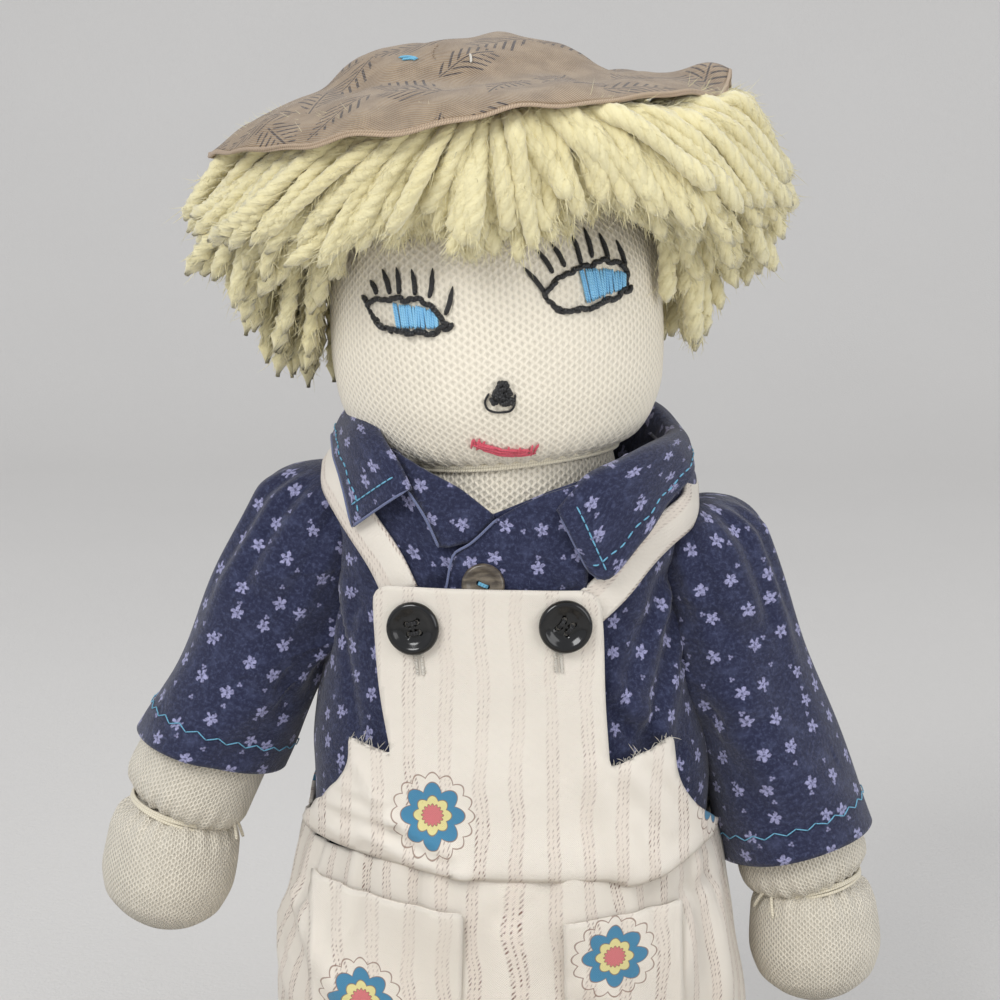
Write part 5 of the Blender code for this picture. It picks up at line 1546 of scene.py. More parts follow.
SEAT_CREASES = (
    ((-0.085, -0.030, 0.125), (-0.060, -0.058, 0.085), 0.0060, 0.0035),
    ((-0.090, -0.010, 0.110), (-0.082, -0.045, 0.070), 0.0070, 0.0035),
    ((0.080, -0.035, 0.128), (0.086, -0.035, 0.075), 0.0055, 0.0040),
    ((0.072, -0.045, 0.126), (0.070, -0.055, 0.080), 0.0050, 0.0030),
    ((0.000, -0.062, 0.120), (-0.004, -0.064, 0.060), 0.0060, 0.0025),
    ((0.030, -0.060, 0.100), (0.060, -0.055, 0.070), 0.0065, 0.0025),
    ((-0.060, 0.052, 0.120), (-0.040, 0.060, 0.060), 0.0080, 0.0030),
    ((0.060, 0.052, 0.120), (0.045, 0.060, 0.050), 0.0080, 0.0030),
    ((0.000, 0.062, 0.110), (0.004, 0.062, 0.040), 0.0050, 0.0030),
)
seat_cloth.creases(SEAT_CREASES)
seat_cloth.ruffle(*SEAT_RUFFLE, 91, ease(0.0, 0.02, heights)[:, None])
seat_cloth.points[..., 2] = np.maximum(seat_cloth.points[..., 2], 0)
seat_cloth.points[0, :, 2] = 0


def seat_map(row, column):
    return column / len(RING) * SEAT_FLAT[0] + 0.002, np.interp(row, np.arange(len(heights)), heights)


seat = seat_cloth.piece("trousers", {"cloth": seat_map}, (True, False))
dress(seat, cotton, "body", "trousers_seat", slot="overall_cotton")
thicken(seat, COTTON_THICK)


def cut_shape(outline, step):
    """A sheet cut to an outline in the plane: its points and faces, with its rim on the outline."""
    outline = np.asarray(outline, float)
    low = outline.min(0)
    high = outline.max(0)
    nx = int(math.ceil((high[0] - low[0]) / step))
    ny = int(math.ceil((high[1] - low[1]) / step))
    xs = np.linspace(low[0], high[0], nx + 1)
    ys = np.linspace(low[1], high[1], ny + 1)

    def inside(p):
        a = outline
        b = np.roll(outline, -1, 0)
        crosses = (a[:, 1] > p[1]) != (b[:, 1] > p[1])
        with np.errstate(divide="ignore", invalid="ignore"):
            at_x = a[:, 0] + (p[1] - a[:, 1]) * (b[:, 0] - a[:, 0]) / (b[:, 1] - a[:, 1])
        return (crosses & (p[0] < at_x)).sum() % 2 == 1

    keep = [
        (i, j) for i in range(nx) for j in range(ny)
        if inside(((xs[i] + xs[i + 1]) / 2, (ys[j] + ys[j + 1]) / 2))
    ]
    index = {}
    points = []
    faces = []
    for i, j in keep:
        face = []
        for a, b in ((i, j), (i + 1, j), (i + 1, j + 1), (i, j + 1)):
            if (a, b) not in index:
                index[(a, b)] = len(points)
                points.append((xs[a], ys[b]))
            face.append(index[(a, b)])
        faces.append(face)
    points = np.array(points)

    neighbours = {}
    edges = {}
    for face in faces:
        for i, j in zip(face, face[1:] + face[:1]):
            neighbours.setdefault(i, set()).add(j)
            neighbours.setdefault(j, set()).add(i)
            edge = (min(i, j), max(i, j))
            edges[edge] = edges.get(edge, 0) + 1
    rim = {i for edge, n in edges.items() if n == 1 for i in edge}
    a = outline
    b = np.roll(outline, -1, 0)
    for i in rim:
        p = points[i]
        t = np.clip(((p - a) * (b - a)).sum(1) / np.maximum(((b - a) ** 2).sum(1), 1e-15), 0, 1)
        near = a + t[:, None] * (b - a)
        points[i] = near[np.argmin(((near - p) ** 2).sum(1))]
    for _ in range(6):
        moved = points.copy()
        for i, near in neighbours.items():
            if i not in rim:
                moved[i] = points[sorted(near)].mean(0)
        points = moved
    return points, faces


def cut_piece(name, outline, step, place, thick, shift=(0, 0)):
    """A cut sheet laid into space by place(x, y), which gives arrays of points."""
    flat, faces = cut_shape(outline, step)
    points = place(flat[:, 0], flat[:, 1])
    corners = np.array([flat[i] for f in faces for i in f]) + np.asarray(shift)
    piece = mesh_piece(name, points, faces, {"cloth": corners})
    thicken(piece, thick)
    return piece


def rounded(points, radius, steps=6):
    """An outline with its corners rounded: radius is one number or one per corner."""
    points = [np.asarray(p, float) for p in points]
    radii = radius if isinstance(radius, (list, tuple)) else [radius] * len(points)
    made = []
    for i, p in enumerate(points):
        before = points[i - 1]
        after = points[(i + 1) % len(points)]
        r = radii[i]
        if r <= 0:
            made.append(p)
            continue
        a = p + unit(before - p) * min(r, 0.45 * np.linalg.norm(before - p))
        b = p + unit(after - p) * min(r, 0.45 * np.linalg.norm(after - p))
        for t in np.linspace(0, 1, steps):
            made.append((1 - t) ** 2 * a + 2 * t * (1 - t) * p + t * t * b)
    dense = []
    for i, p in enumerate(made):
        q = made[(i + 1) % len(made)]
        n = max(1, int(np.linalg.norm(q - p) / 0.002))
        for t in np.arange(n) / n:
            dense.append(p + (q - p) * t)
    return np.array(dense)


BIB_DEPTH = (  # height, how far the front panel stands in front at its middle, and its half width
    (0.1365, 0.0655, 0.0868), (0.1430, 0.0672, 0.0878), (0.1500, 0.0665, 0.0858), (0.1555, 0.0650, 0.0845),
    (0.1650, 0.0625, 0.0840), (0.1910, 0.0588, 0.0838), (0.2200, 0.0572, 0.0805), (0.2400, 0.0572, 0.0790),
    (0.2580, 0.0586, 0.0790),
)
BIB_SQUARE = 2.7
BIB_FOOT = (  # place across, and the height of the fold over the waist
    (-0.110, 0.1525), (-0.085, 0.1535), (-0.0540, 0.1500), (-0.0300, 0.1455), (-0.0170, 0.1432),
    (0.0400, 0.1415),
    (0.0455, 0.1385), (0.0560, 0.1405), (0.0800, 0.1490), (0.110, 0.1510),
)
FRONT_FOLDS = (  # two ends across and up, width, height
    ((-0.0473, 0.1653), (-0.0236, 0.1537), 0.0028, 0.0040), ((-0.0600, 0.1600), (-0.0182, 0.1450),
                                                             0.0034, 0.0042),
    ((-0.0800, 0.1690), (-0.0473, 0.1653), 0.0028, 0.0036), ((-0.0620, 0.1850), (-0.0520, 0.1700),
                                                             0.0024, 0.0024),
    ((-0.0700, 0.1760), (-0.0500, 0.1720), 0.0022, 0.0020), ((-0.0950, 0.1640), (-0.0700, 0.1580),
                                                             0.0028, 0.0030),
    ((0.0330, 0.1836), (0.0430, 0.1500), 0.0060, 0.0022), ((0.0469, 0.1836), (0.0650, 0.1612),
                                                           0.0050, 0.0026),
    ((0.0560, 0.1900), (0.0850, 0.1560), 0.0040, 0.0024), ((0.0500, 0.1650), (0.0600, 0.1450),
                                                           0.0035, 0.0020),
    ((-0.0900, 0.1600), (-0.0620, 0.1560), 0.0035, 0.0028),
)


def round_oval(s, deep, wide):
    """Where a length s measured round an oval from its front middle comes to."""
    turn = np.linspace(0, math.pi / 2, 60)
    x = np.sin(turn) ** (2 / BIB_SQUARE)
    y = np.cos(turn) ** (2 / BIB_SQUARE)
    made = np.zeros((len(s), 2))
    for i in range(len(s)):
        px = x * wide[i]
        py = y * deep[i]
        along = np.concatenate([[0], np.cumsum(np.hypot(np.diff(px), np.diff(py)))])
        far = min(abs(s[i]), along[-1])
        made[i] = (np.sign(s[i]) * np.interp(far, along, px), -np.interp(far, along, py))
    return made


def panel_place(s, z):
    s = np.ravel(np.asarray(s, float))
    z = np.ravel(np.asarray(z, float))
    foot = np.interp(s, [p[0] for p in BIB_FOOT], [p[1] for p in BIB_FOOT])
    tuck = 0.0022 * (1 - ease(0, 0.0030, z - foot))
    deep = from_table(BIB_DEPTH, z, 1) - tuck
    wide = from_table(BIB_DEPTH, z, 2) - tuck * 0.5
    for (ax, az), (bx, bz), width, height in FRONT_FOLDS:
        along = np.array((bx - ax, bz - az))
        rel = np.stack([s - ax, z - az], 1)
        t = np.clip(rel @ along / (along @ along), 0, 1)
        off = rel - t[:, None] * along
        far = np.hypot(off[:, 0], off[:, 1])
        below = rel @ np.array((along[1], -along[0])) / np.hypot(*along)
        under = np.exp(-((below - 1.5 * width) / width) ** 2) * np.exp(-(far / (3 * width)) ** 2)
        deep = deep + height * np.exp(-(far / width) ** 2) - 0.5 * height * under
    flat = round_oval(s, deep, wide)
    return np.stack([flat[:, 0], flat[:, 1], z], -1)


def front_place(x, z):
    """Where the overalls' front panel lies, by its place across the cloth and its height."""
    points = panel_place(x, z)
    ripple = waves(points, 0.030, 95) * 0.0011 * ease(0.235, 0.18, points[:, 2])
    points[:, 1] -= ripple
    return points


BIB_OUTLINE = (
    (-0.0540, 0.2565), (0.0340, 0.2550), (0.0358, 0.2400), (0.0365, 0.2120), (0.0385, 0.1860),
    (0.0655, 0.1955), (0.0680, 0.1780), (0.0800, 0.1650), (0.1020, 0.1550), (0.1100, 0.1530),
    (0.0800, 0.1490), (0.0560, 0.1405), (0.0455, 0.1385), (0.0400, 0.1415), (-0.0170, 0.1432),
    (-0.0300, 0.1455),
    (-0.0540, 0.1500), (-0.0850, 0.1535), (-0.1100, 0.1525),
    (-0.0980, 0.1590), (-0.0780, 0.1710), (-0.0650, 0.1830), (-0.0648, 0.1956), (-0.0465, 0.1906),
    (-0.0515, 0.2150), (-0.0535, 0.2400),
)
BIB_ROUND = [
    0.008, 0.008, 0.01, 0.01, 0.002, 0.002, 0.008, 0.01, 0.004, 0.002, 0.01, 0.004, 0.004, 0.004, 0.01, 0.01,
    0.01, 0.01, 0.002, 0.01, 0.01, 0.008, 0.002, 0.002, 0.02, 0.01,
]
bib_outline = rounded(BIB_OUTLINE, BIB_ROUND)
bib = cut_piece("front_panel", bib_outline, 0.0022, front_place, PANEL_THICK, (0.0045, 0))
dress(bib, cotton, "body", "bib_panel", slot="overall_cotton")


def back_place(x, z):
    """As the front, behind; its sides are drawn in to the shirt above the waist."""
    points = panel_place(x, z)
    points[:, 1] = -points[:, 1]
    height = points[:, 2]
    shirt_wide = from_table(SHIRT_TABLE, height, 1) + 0.0028
    drawn_in = np.minimum(shirt_wide / from_table(BIB_DEPTH, height, 2), 1)
    points[:, 0] *= 1 + ease(0.143, 0.156, height) * (drawn_in - 1)
    return points


BACK_OUTLINE = (
    (-0.040, 0.2255), (0.040, 0.2255), (0.044, 0.2000), (0.060, 0.1900), (0.078, 0.1730), (0.1130, 0.1520),
    (0.1130, 0.1500), (0.060, 0.1450), (0.0, 0.1425), (-0.060, 0.1450), (-0.1130, 0.1500),
    (-0.1130, 0.1530),
    (-0.078, 0.1730), (-0.060, 0.1900), (-0.044, 0.2000),
)
back = cut_piece("back_panel_cloth", rounded(BACK_OUTLINE, 0.006), 0.0026, back_place, PANEL_THICK, (0.2, 0))
dress(back, cotton, "body", "back_panel", slot="overall_cotton")

# Pockets
seat_ground = Ground(seat)
POCKET_LIFT = 0.0016
def pocket_place(x, z):
    """Where a pocket lies on the trousers, its top edge a little off them."""
    made = []
    for a, b in zip(np.ravel(x), np.ravel(z)):
        place, normal = seat_ground.met(Vector((a, -0.3, b)), Vector((0, 1, 0)))
        made.append(place + normal * POCKET_LIFT)
    made = np.array(made)
    made[:, 1] -= POCKET_LIFT * ease(0.10, 0.134, np.asarray(z))
    return made


POCKETS = {
    "left": ((-0.0785, 0.1385), (-0.0180, 0.1305), (-0.0190, 0.0930), (-0.0400, 0.0800), (-0.0790, 0.0860)),
    "right": ((0.0205, 0.1265), (0.0670, 0.1305), (0.0680, 0.0880), (0.0450, 0.0790), (0.0215, 0.0900)),
}
POCKET_SHIFT = {"left": (0.0325, 0.076), "right": (-0.0655, 0.056)}
for side, outline in POCKETS.items():
    pocket = cut_piece(f"pocket_{side}_cloth", rounded(outline, 0.002), 0.0026, pocket_place, 0.0012,
                       POCKET_SHIFT[side])
    dress(pocket, cotton, "body", f"pocket_{side}", slot="overall_cotton")

# ---------------------------------------------------------------- collar

COLLAR_ROWS = 22
COLLAR_COLUMNS = 90


def flap(folds, edges, bulge):
    """A collar half: a cloth from its fold line to its free edge, rounded over the fold."""
    fold_line = through(folds, COLLAR_COLUMNS)
    edge_line = through(edges, COLLAR_COLUMNS)
    t = np.linspace(0, 1, COLLAR_ROWS)[:, None, None]
    out = unit(np.cross(np.gradient(fold_line, axis=0), edge_line - fold_line))
    middle = np.array((0, 0, fold_line[:, 2].mean()))
    out = out * np.sign(((fold_line - middle) * out).sum(1).mean())
    points = fold_line[None] * (1 - t) + edge_line[None] * t + np.sin(np.pi * t ** 0.7) * bulge * out[None]
    cloth = Cloth(points)
    cloth.ruffle(*COLLAR_RUFFLE, 141)
    return cloth


# The left and the right half: points of the fold line and of the free edge, from the front corner to the
# middle of the back, each as it is seen in the picture with its depth, or as a place
COLLAR = {
    "left": (
        ((412, 488, -0.0500), (400, 463, -0.0470), (391, 449, -0.0430), (377, 425, -0.0300),
         (366, 401, -0.0060)),
        ((353, 527, -0.0400), (345, 500, -0.0355), (338, 478, -0.0300), (332, 454, -0.0180),
         (334, 436, 0.0030)),
        ((-0.0500, 0.0300, 0.3200), (-0.0280, 0.0500, 0.3180), (0.0000, 0.0570, 0.3170)),
        ((-0.0700, 0.0300, 0.3020), (-0.0400, 0.0640, 0.2980), (0.0000, 0.0700, 0.2960)),
    ),
    "right": (
        ((558, 511, -0.0510), (574, 492, -0.0500), (592, 475, -0.0480), (626, 459, -0.0400),
         (657, 443, -0.0220),
         (670, 433, -0.0020)),
        ((589, 572, -0.0550), (603, 580, -0.0530), (640, 541, -0.0465), (664, 506, -0.0360),
         (690, 474, -0.0190),
         (688, 452, 0.0060)),
        ((0.0500, 0.0320, 0.3170), (0.0280, 0.0500, 0.3170), (0.0000, 0.0570, 0.3170)),
        ((0.0680, 0.0320, 0.3000), (0.0400, 0.0640, 0.2970), (0.0000, 0.0700, 0.2960)),
    ),
}
COLLAR_MAP_STARTS = {"left": 0.7, "right": 1.0}
COLLAR_THICK = 0.0014
STAND_ROWS = 8
STAND_IN = 0.0010
STAND_DROP = 0.0030


def collar_stitches(cloth):
    """Lines of stitches inside the free edge, and down from the front corner of the fold."""
    made = []
    spots = np.linspace(2, 70, 70)
    inset = 0.80 * (COLLAR_ROWS - 1)
    for a, b in zip(spots[:-1:2], spots[1::2]):
        c = np.linspace(a, b + 0.25, 4)
        made.append(cloth.at(np.full(4, inset) + 0.35 * np.sin(c * 0.9), c))
    for k in range(8):
        made.append(cloth.at(np.linspace(3 + k * 2.0, 4.7 + k * 2.0, 4), np.full(4, 4.0)))
    return made


collar_cloths = []
for side, (fold_front, edge_front, fold_back, edge_back) in COLLAR.items():
    folds = [at_depth(px, py, y) for px, py, y in fold_front] + [np.array(p) for p in fold_back]
    edges = [at_depth(px, py, y) for px, py, y in edge_front] + [np.array(p) for p in edge_back]
    cloth = flap(folds, edges, 0.0035)
    collar_cloths.append(cloth)
    # the stand inside: from the fold down into the neck
    fold_line = cloth.points[0]
    inward = unit(-fold_line * (1, 1, 0))
    deep = ease(0.02, 0.25, np.linspace(0, 1, len(fold_line)))[:, None] * 0.97 + 0.03
    step = (inward * STAND_IN - UP * STAND_DROP) * deep
    stand_rows = np.array([fold_line + step * k for k in range(STAND_ROWS, 0, -1)])
    whole = Cloth(np.concatenate([stand_rows, cloth.points]))

    def collar_map(row, column):
        return column / (COLLAR_COLUMNS - 1) * 0.15 + COLLAR_MAP_STARTS[side], row * 0.0021 + 0.7

    collar = whole.piece(f"collar_{side}", {"cloth": collar_map})
    thicken(collar, COLLAR_THICK)
    dress(collar, flannel, "body", f"shirt_collar_{side}", slot="flannel")
    # its cyan stitching, lifted to the outside where the nearest face is the inner one
    collar_ground = Ground(collar)
    made = []
    for line in collar_stitches(cloth):
        line = np.array([collar_ground.nearest(p) for p in line])
        normal = np.array([collar_ground.tree.find_nearest(Vector(p))[1] for p in line])
        outward = line - UP * line[:, 2].mean()
        faces_out = np.sign((normal * outward).sum(1))[:, None]
        made.append(line + normal * faces_out * np.where(faces_out > 0, 0.0003, 0.0017))
    stitches = tubes(f"collar_stitches_{side}", made, 0.00034, around=5, tips=0.7)
    dress(stitches, cyan_thread, "body", slot="blue_thread")


PATCH_STEP = 0.00484
PATCH_CORNER = 3.0


def picture_patch(name, outline, lift):
    """A layer of the shirt's front, cut where the picture shows its edges and laid on what is behind."""
    flat = rounded([(x / PICTURE, -y / PICTURE) for x, y in outline], PATCH_CORNER / PICTURE)
    points, faces = cut_shape(flat, PATCH_STEP)
    spots = np.array([front_ground.seen(x * PICTURE, -y * PICTURE, lift) for x, y in points])
    corners = np.array([(spots[i][0], spots[i][2]) for f in faces for i in f]) + 1.3
    piece = mesh_piece(name, spots, faces, {"cloth": corners})
    thicken(piece, SHIRT_THICK)
    return piece


lapel = picture_patch("shirt_lapel_left", (
    (394, 449), (421, 466), (441, 477), (461, 488), (496, 516), (471, 542), (441, 547), (427, 515),
    (411, 489),
), 0.0022)
overlap = picture_patch("shirt_placket", (
    (498, 517), (524, 503), (548, 492), (580, 482), (566, 512), (584, 560), (586, 606), (446, 606),
    (446, 584),
    (455, 557), (471, 542),
), 0.0036)
for piece in (lapel, overlap):
    dress(piece, flannel, "body", slot="flannel")

# Edges worn pale: of the collar, the placket and the left front
worn_lines = []
for cloth in collar_cloths:
    worn_lines += [cloth.points[-1, :62], cloth.points[1:, 0]]
for line in (
    ((498, 517), (471, 542), (456, 556), (447, 583), (446, 600)), ((412, 490), (427, 515), (441, 546)),
):
    worn_lines.append(through([front_ground.seen(px, py, 0.0042) for px, py in line], 40))
worn = tubes("worn_edges", [line[::2] for line in worn_lines], 0.00055, around=6)
dress(worn, worn_edge, "body", slot="flannel")

# ---------------------------------------------------------------- straps

STRAP_WIDTH = 0.0155
STRAP_THICK = 0.0016
STRAP_CROWN = 0.0009
STRAP_LIFT = 0.0024
STRAPS = {  # places in the picture with their depth, the ridge over the shoulder
    "left": (((396, 602, -0.053), (378, 568, -0.050), (361, 538, -0.044), (345, 505, -0.034),
              (332, 470, -0.018)),
             0.3010),
    "right": (((604, 612, -0.053), (622, 583, -0.050), (645, 556, -0.044), (666, 530, -0.034),
               (686, 502, -0.018)),
              0.2945),
}
STRAP_OVER = ((0.0710, 0.002, 0), (0.0680, 0.022, -0.004))
STRAP_BACK = ((0.055, 0.047, 0.277), (0.044, 0.06, 0.26), (0.0326, 0.07, 0.232), (0.03097, 0.07, 0.215))
CHEST_MIDDLE = np.array((0, 0, 0.235))
strap_ground = Ground(guide, overlap)


def facing(p):
    """The way out of the shirt near a place, or from the chest's middle where the shirt turns away."""
    spot, normal, _, _ = strap_ground.tree.find_nearest(Vector(p))
    normal = np.array(normal)
    normal = normal * np.sign(normal @ (p - np.array(spot)) + 1e-9)
    away = unit(p - CHEST_MIDDLE)
    return normal if normal @ away > 0.35 else away


def strap_map(row, column):
    return column / 10 * STRAP_WIDTH + 0.0040, row * 0.0022


for side, (seen_line, ridge) in STRAPS.items():
    mirror = np.array((SIDES[side], 1, 1))
    line = [strap_ground.nearest(at_depth(px, py, y), STRAP_LIFT) for px, py, y in seen_line]
    line += [mirror * p + UP * ridge for p in STRAP_OVER]
    line += [strap_ground.nearest(mirror * p, STRAP_LIFT) for p in STRAP_BACK]
    line = through(line, 90)
    for _ in range(8):
        line[1:-1] = (line[:-2] + 2 * line[1:-1] + line[2:]) / 4
    normal = np.array([facing(p) for p in line])
    for _ in range(40):
        normal[1:-1] = unit(normal[:-2] + normal[1:-1] + normal[2:])
    across = unit(np.cross(np.gradient(line, axis=0), normal))
    spots = np.linspace(-1, 1, 11)[None, :, None]
    strap_cloth = Cloth(
        line[:, None, :] + across[:, None, :] * spots * STRAP_WIDTH / 2
        + normal[:, None, :] * STRAP_CROWN * (1 - spots ** 2)
    )
    strap = strap_cloth.piece(f"strap_{side}_cloth", {"cloth": strap_map})
    thicken(strap, STRAP_THICK, inward=strap_cloth.normals()[45, 5] @ normal[45] >= 0)
    dress(strap, cotton_plain, "body", f"strap_{side}", slot="overall_cotton")
    long = float(lengths_along(line)[-1])

# ---------------------------------------------------------------- buttons

bib_ground = Ground(bib)

BUTTON_PROFILE = (  # shares of the radius and the height, from the hollow middle over the rim to the back
    (0.35, 0.42), (0.50, 0.46), (0.62, 0.60), (0.72, 0.88), (0.80, 0.99), (0.88, 1.0), (0.95, 0.86),
    (0.995, 0.60), (1.0, 0.45), (0.97, 0.22), (0.88, 0.05), (0.70, 0.0),
)
BUTTON_FLOOR_SHARE = 0.42
OVERRUN = 0.002
THREAD_STEP = 0.0004


def circle(radius, count, height):
    turn = np.arange(count) * math.tau / count
    return np.stack([radius * np.cos(turn), radius * np.sin(turn), np.full(count, height)], 1)


def button(name, centre, normal, radius, thick, holes, hole_radius, hole_reach, spin):
    """A turned button with a raised rim, a hollow middle and drilled holes, and the lines of its threads."""
    count = 72
    rings = [circle(radius * share, count, height * thick) for share, height in BUTTON_PROFILE]
    quads, _, _ = grid_faces(len(rings), count, True)
    faces = [tuple(reversed(f)) for f in quads.tolist()]
    top = len(rings) * count
    last = top - count
    for k in range(count):
        j = (k + 1) % count
        faces += [(k, j, top), (last + j, last + k, top + 1)]
    floor = thick * BUTTON_FLOOR_SHARE
    piece = mesh_piece(name, np.concatenate([*rings, [(0, 0, floor), (0, 0, 0)]]), faces)
    turns = math.tau * (np.arange(holes) + 0.5) / holes + spin
    spots = hole_reach * np.stack([np.cos(turns), np.sin(turns)], 1)
    drills = []
    for k, spot in enumerate(spots):
        ring = circle(hole_radius, 16, 0) + (*spot, 0)
        ends = np.concatenate([ring - UP * OVERRUN, ring + UP * (thick + OVERRUN)])
        sides = [(i, (i + 1) % 16, 16 + (i + 1) % 16, 16 + i) for i in range(16)]
        caps = [tuple(reversed(range(16))), tuple(range(16, 32))]
        drills.append(mesh_piece(f"{name}_drill_{k}", ends, sides + caps, smooth=False))
        cut = piece.modifiers.new("hole", "BOOLEAN")
        cut.operation = "DIFFERENCE"
        cut.object = drills[-1]
        cut.solver = "EXACT"
    apply_all(piece)
    for drill in drills:
        bpy.data.objects.remove(drill)
    for p in piece.data.polygons:
        p.use_smooth = True
    matrix = Matrix.Translation(centre) @ Vector(normal).to_track_quat("Z", "Y").to_matrix().to_4x4()
    piece.data.transform(matrix)
    lines = []
    high = floor + 0.0006
    climb = ((0, 0.0002), (0.04, high * 0.9), (0.5, high + THREAD_STEP), (0.96, high * 0.9), (1, 0.0002))
    for i, j in ((0, 1), (3, 2))[:holes // 2]:
        way = spots[j] - spots[i]
        for off in (-THREAD_STEP, 0.0, THREAD_STEP):
            start = spots[i] + unit((-way[1], way[0])) * off
            stops = [(*(start + way * t), z) for t, z in climb]
            lines.append(placed(through(stops, 14), matrix))
    return piece, lines


def facing_viewer(ground, px, py):
    """The way that a surface faces, tipped up a little."""
    return unit(np.array(ground.met(*sight(px, py))[1]) + UP * 0.05)


BIB_BUTTONS = {"left": (413.8, 627.7, 0.25), "right": (565.2, 625.8, 0.95)}
for side, (px, py, spin) in BIB_BUTTONS.items():
    piece, lines = button(f"bib_button_{side}_turned", bib_ground.seen(px, py, 0.0004),
                          facing_viewer(bib_ground, px, py), 0.0103, 0.0034, 4, 0.0011, 0.0027, spin)
    dress(piece, black_button, "body", f"bib_button_{side}", slot="black_button")
    threads = tubes(f"bib_button_thread_{side}", lines, 0.00034, around=6)
    dress(threads, black_floss, "body", slot="black_thread")

overlap_ground = Ground(overlap)
piece, lines = button("shirt_button_turned", overlap_ground.seen(483.5, 585, 0.0003),
                      facing_viewer(overlap_ground, 483, 580), 0.0083, 0.0024, 2, 0.0009, 0.0019, 1.2)
dress(piece, brown_button, "body", "shirt_button", slot="brown_button")
threads = tubes("shirt_button_thread", lines, 0.0003, around=6)
dress(threads, cyan_thread, "body", slot="blue_thread")

# Buttonholes, worked in cream thread under the two buttons, and raw edges that fray
draw = np.random.default_rng(161)
lines = []
for top, foot in (((418.5, 653), (420.5, 674)), ((557.5, 650), (559, 672))):
    top = np.array(top)
    foot = np.array(foot)
    for k in range(16):
        t = k / 15
        p = top + (foot - top) * t
        for sign in (-1, 1):
            a = bib_ground.seen(p[0] + sign * 1.2, p[1] + draw.normal() * 0.4, 0.0005)
            reach = 4.6 + draw.normal() * 0.5
            b = bib_ground.seen(p[0] + sign * reach, p[1] + draw.normal() * 0.7, 0.0003)
            lines.append(through([a, (a + b) / 2 + FRONT * 0.0003, b], 5))
holes = tubes("buttonhole_stitches", lines, 0.00036, around=5)
dress(holes, white_thread, "body", slot="overall_cotton")

lines = []
for a, b, count in (((-0.0645, 0.1952), (-0.0470, 0.1905), 34), ((0.0392, 0.1864), (0.0650, 0.1950), 44)):
    a = np.array(a)
    b = np.array(b)
    for _ in range(count):
        p = a + (b - a) * draw.uniform()
        foot = front_place([p[0]], [p[1] - 0.0004])[0] + np.array((0, -0.0002 + 0.0014 * draw.uniform(), 0))
        way = unit(np.array((draw.normal() * 0.55, -0.1 + draw.normal() * 0.25, 0.9)))
        reach = draw.uniform(0.0012, 0.0034)
        curl = draw.normal(size=3) * 0.45
        t = np.linspace(0, 1, 6)[:, None]
        lines.append(foot + reach * (t * way + t ** 2 * curl))
fray = tubes("frayed_edges", lines, 0.00016, around=4)
dress(fray, white_thread, "body", slot="overall_cotton")

# ---------------------------------------------------------------- legs and feet

HIPS = {"left": (-0.050, -0.024, 0.0424), "right": (0.050, -0.024, 0.0424)}
SPLAY = math.radians(9)
LEG_LENGTH = 0.240
TROUSER_LENGTH = 0.215

FOOT_LIFT = math.radians(20)


LEG_TABLE = (  # length from the hip, radius
    (-0.035, 0.005), (-0.031, 0.016), (-0.02, 0.029), (0.0, 0.0355), (0.06, 0.0358), (0.14, 0.0340),
    (0.21, 0.0325), (0.228, 0.0290), (LEG_LENGTH, 0.0225),
)
FOOT_TABLE = (  # length below the tie, radius
    (-0.002, 0.0215), (0.002, 0.0240), (0.010, 0.0290), (0.022, 0.0318), (0.040, 0.0318), (0.054, 0.0265),
    (0.062, 0.0170), (0.066, 0.004),
)
TROUSER_LEG_TABLE = (
    (-0.0405, 0.006), (-0.036, 0.018), (-0.024, 0.0335), (-0.006, 0.0412), (0.02, 0.0418), (0.10, 0.0412),
    (0.17, 0.0408), (TROUSER_LENGTH, 0.0418),
)
LEG_CREASES = (  # start and end in the leg's frame, width, height
    ((-0.030, 0.028, -0.020), (0.026, 0.032, -0.034), 0.0060, 0.0035),
    ((-0.028, 0.030, -0.042), (0.018, 0.036, -0.058), 0.0065, 0.0030),
    ((0.036, 0.018, -0.030), (0.040, 0.002, -0.090), 0.0070, 0.0025),
    ((-0.036, 0.016, -0.050), (-0.038, 0.010, -0.120), 0.0080, 0.0025),
    ((-0.010, 0.041, -0.090), (0.016, 0.038, -0.160), 0.0080, 0.0025),
    ((0.030, 0.030, -0.120), (0.020, 0.036, -0.200), 0.0070, 0.0022),
    ((-0.030, 0.030, -0.150), (-0.016, 0.038, -0.205), 0.0070, 0.0022),
    ((-0.036, -0.018, -0.050), (-0.030, -0.030, -0.120), 0.0080, 0.0020),
)
TROUSER_LEG_FLAT = (0.262, 0.25)
TROUSER_MAP_STARTS = {"left": 0.9, "right": 0.6}
FLOOR_CLEAR = 0.0004


def leg_frame(place, sign, lift=0.0):
    """Its -Z runs out along the leg."""
    flat = math.cos(lift)
    out = np.array((sign * math.sin(SPLAY) * flat, -math.cos(SPLAY) * flat, math.sin(lift)))
    level = np.array((math.cos(SPLAY), sign * math.sin(SPLAY), 0.0))
    return axes_matrix(place, level, np.cross(-out, level), -out), out


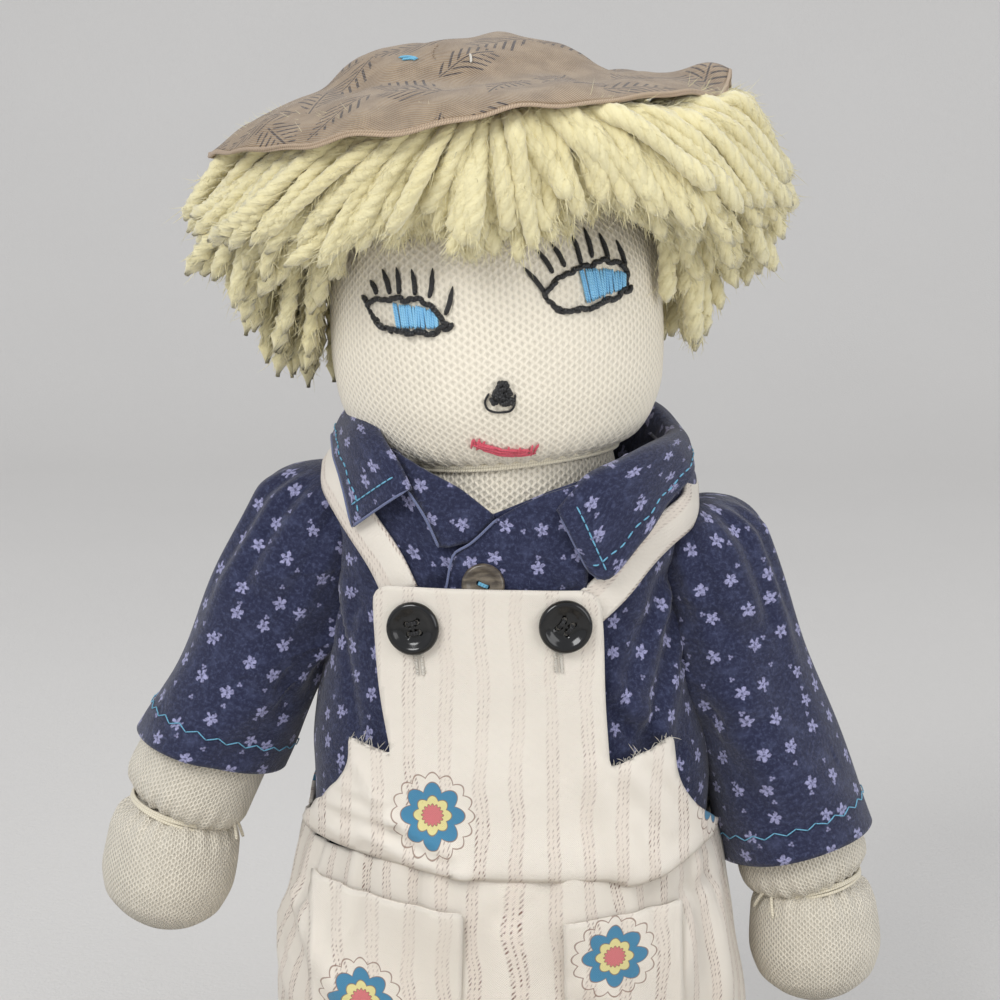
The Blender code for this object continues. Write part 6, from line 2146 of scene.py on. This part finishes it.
for side, sign in SIDES.items():
    hip = HIPS[side]
    matrix, out = leg_frame(hip, sign)
    at = np.linspace(-0.035, LEG_LENGTH, 90)
    gather = (LEG_LENGTH, 0.012, 0.0006)
    leg = stuffed(f"leg_{side}_knit", at, LEG_TABLE, matrix, gather, 101 + sign, columns=84)
    dress(leg, knit_open, f"leg_{side}", f"leg_skin_{side}", f"leg_stuffing_{side}", slot="knit", fill=0.85)
    # the foot: a bulb past the tie
    ankle = np.array(hip) + out * LEG_LENGTH
    foot_matrix, foot_out = leg_frame(ankle, sign, FOOT_LIFT)
    at = np.linspace(-0.002, 0.066, 60)
    gather = (0.0, 0.010, 0.0007)
    foot = stuffed(f"foot_{side}_knit", at, FOOT_TABLE, foot_matrix, gather, 104 + sign, columns=84)
    dress(foot, knit_open, None, f"foot_skin_{side}", f"foot_stuffing_{side}", slot="knit", fill=0.9)
    tuple(ankle + foot_out * 0.014)
    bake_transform(foot)
    # the string at the ankle
    knot_out = unit(UP + 0.3 * FRONT)
    lines = tie_rounds(ankle, unit(out + foot_out), 0.0232, 0.0008, 110 + sign)
    lines += knot_lines(ankle + 0.0236 * knot_out, knot_out, out, KNOT_RADIUS, 0.012, 115 + sign)
    ankle_string = tubes(f"ankle_string_{side}", lines, 0.0008, around=7, tips=0.8)
    dress(ankle_string, string, f"leg_{side}", f"ankle_tie_{side}", slot="cord")
    # the trouser leg, which rests on the floor
    tube = tube_cloth(np.linspace(-0.0405, TROUSER_LENGTH, 110), TROUSER_LEG_TABLE)
    tube.creases(LEG_CREASES)
    tube.ruffle(*TROUSER_RUFFLE, 121 + sign)
    stand(tube, matrix)
    tube.points[..., 2] = np.maximum(tube.points[..., 2], FLOOR_CLEAR)

    def leg_map(row, column):
        across = column / len(RING) * TROUSER_LEG_FLAT[0] + TROUSER_MAP_STARTS[side]
        return across, np.interp(row, [0, len(tube.points) - 1], [0, 0.255])

    trouser = tube.piece(f"trouser_leg_{side}_cloth", {"cloth": leg_map}, (False, True))
    thicken(trouser, COTTON_THICK)
    dress(trouser, cotton, f"leg_{side}", f"trouser_leg_{side}", slot="overall_cotton")
    ring_of_stitches(f"hip_seam_{side}", f"hip_stitches_{side}", f"hip_{side}", 28, 1)

# ---------------------------------------------------------------- stage, lights, camera

FLOOR_HALF = 5.0
WALL_BEND = 1.2
WALL_BACK = 3.0
WALL_TALL = 4.5


def backdrop():
    """A pale floor that curves up into a wall."""
    profile = [(-FLOOR_HALF, 0.0), (0.0, 0.0)]
    for t in np.linspace(0, math.pi / 2, 40):
        profile.append((WALL_BACK - WALL_BEND * (1 - math.sin(t)), WALL_BEND * (1 - math.cos(t))))
    profile.append((WALL_BACK, WALL_TALL))
    points = np.array([[(x, y, z) for x in (-FLOOR_HALF, FLOOR_HALF)] for y, z in profile])
    faces, _, _ = grid_faces(*points.shape[:2], False)
    made = mesh_piece("backdrop", points.reshape(-1, 3), faces)
    g = Graph("backdrop", Roughness=0.9)
    place = g.position()
    tone = g.mix(g.noise(place, 3.0, 3), linear(0.835, 0.825, 0.81), linear(0.855, 0.845, 0.83))
    made.data.materials.append(g.finish(tone, g.noise(place, 400.0, 3), 0.0004))


backdrop()


def lamp(name, place, size, power):
    """A round soft light that points at the doll's middle."""
    data = bpy.data.lights.new(name, "AREA")
    data.shape = "DISK"
    data.size = size
    data.energy = power
    made = link(name, data)
    made.location = place
    made.rotation_euler = (Vector(DOLL_MIDDLE) - Vector(place)).to_track_quat("-Z", "Y").to_euler()


DOLL_MIDDLE = (0, 0, 0.25)
lamp("key", (-0.9, -1.3, 1.5), 0.9, 19)
lamp("fill", (1.3, -1.1, 0.8), 1.2, 9)

world = bpy.data.worlds.new("studio")
bpy.context.scene.world = world
world.use_nodes = True
world.node_tree.nodes["Background"].inputs[0].default_value = (*linear(0.97, 0.98, 1.0), 1)
world.node_tree.nodes["Background"].inputs[1].default_value = 0.80

camera_data = bpy.data.cameras.new("camera")
camera_data.angle = CAMERA_ANGLE
camera = link("camera", camera_data)
camera.location = CAMERA_PLACE
camera.rotation_euler = (math.pi / 2 - CAMERA_DOWN, 0, 0)
bpy.context.scene.camera = camera
bpy.context.scene.view_settings.view_transform = "Standard"

bpy.data.objects.remove(guide)
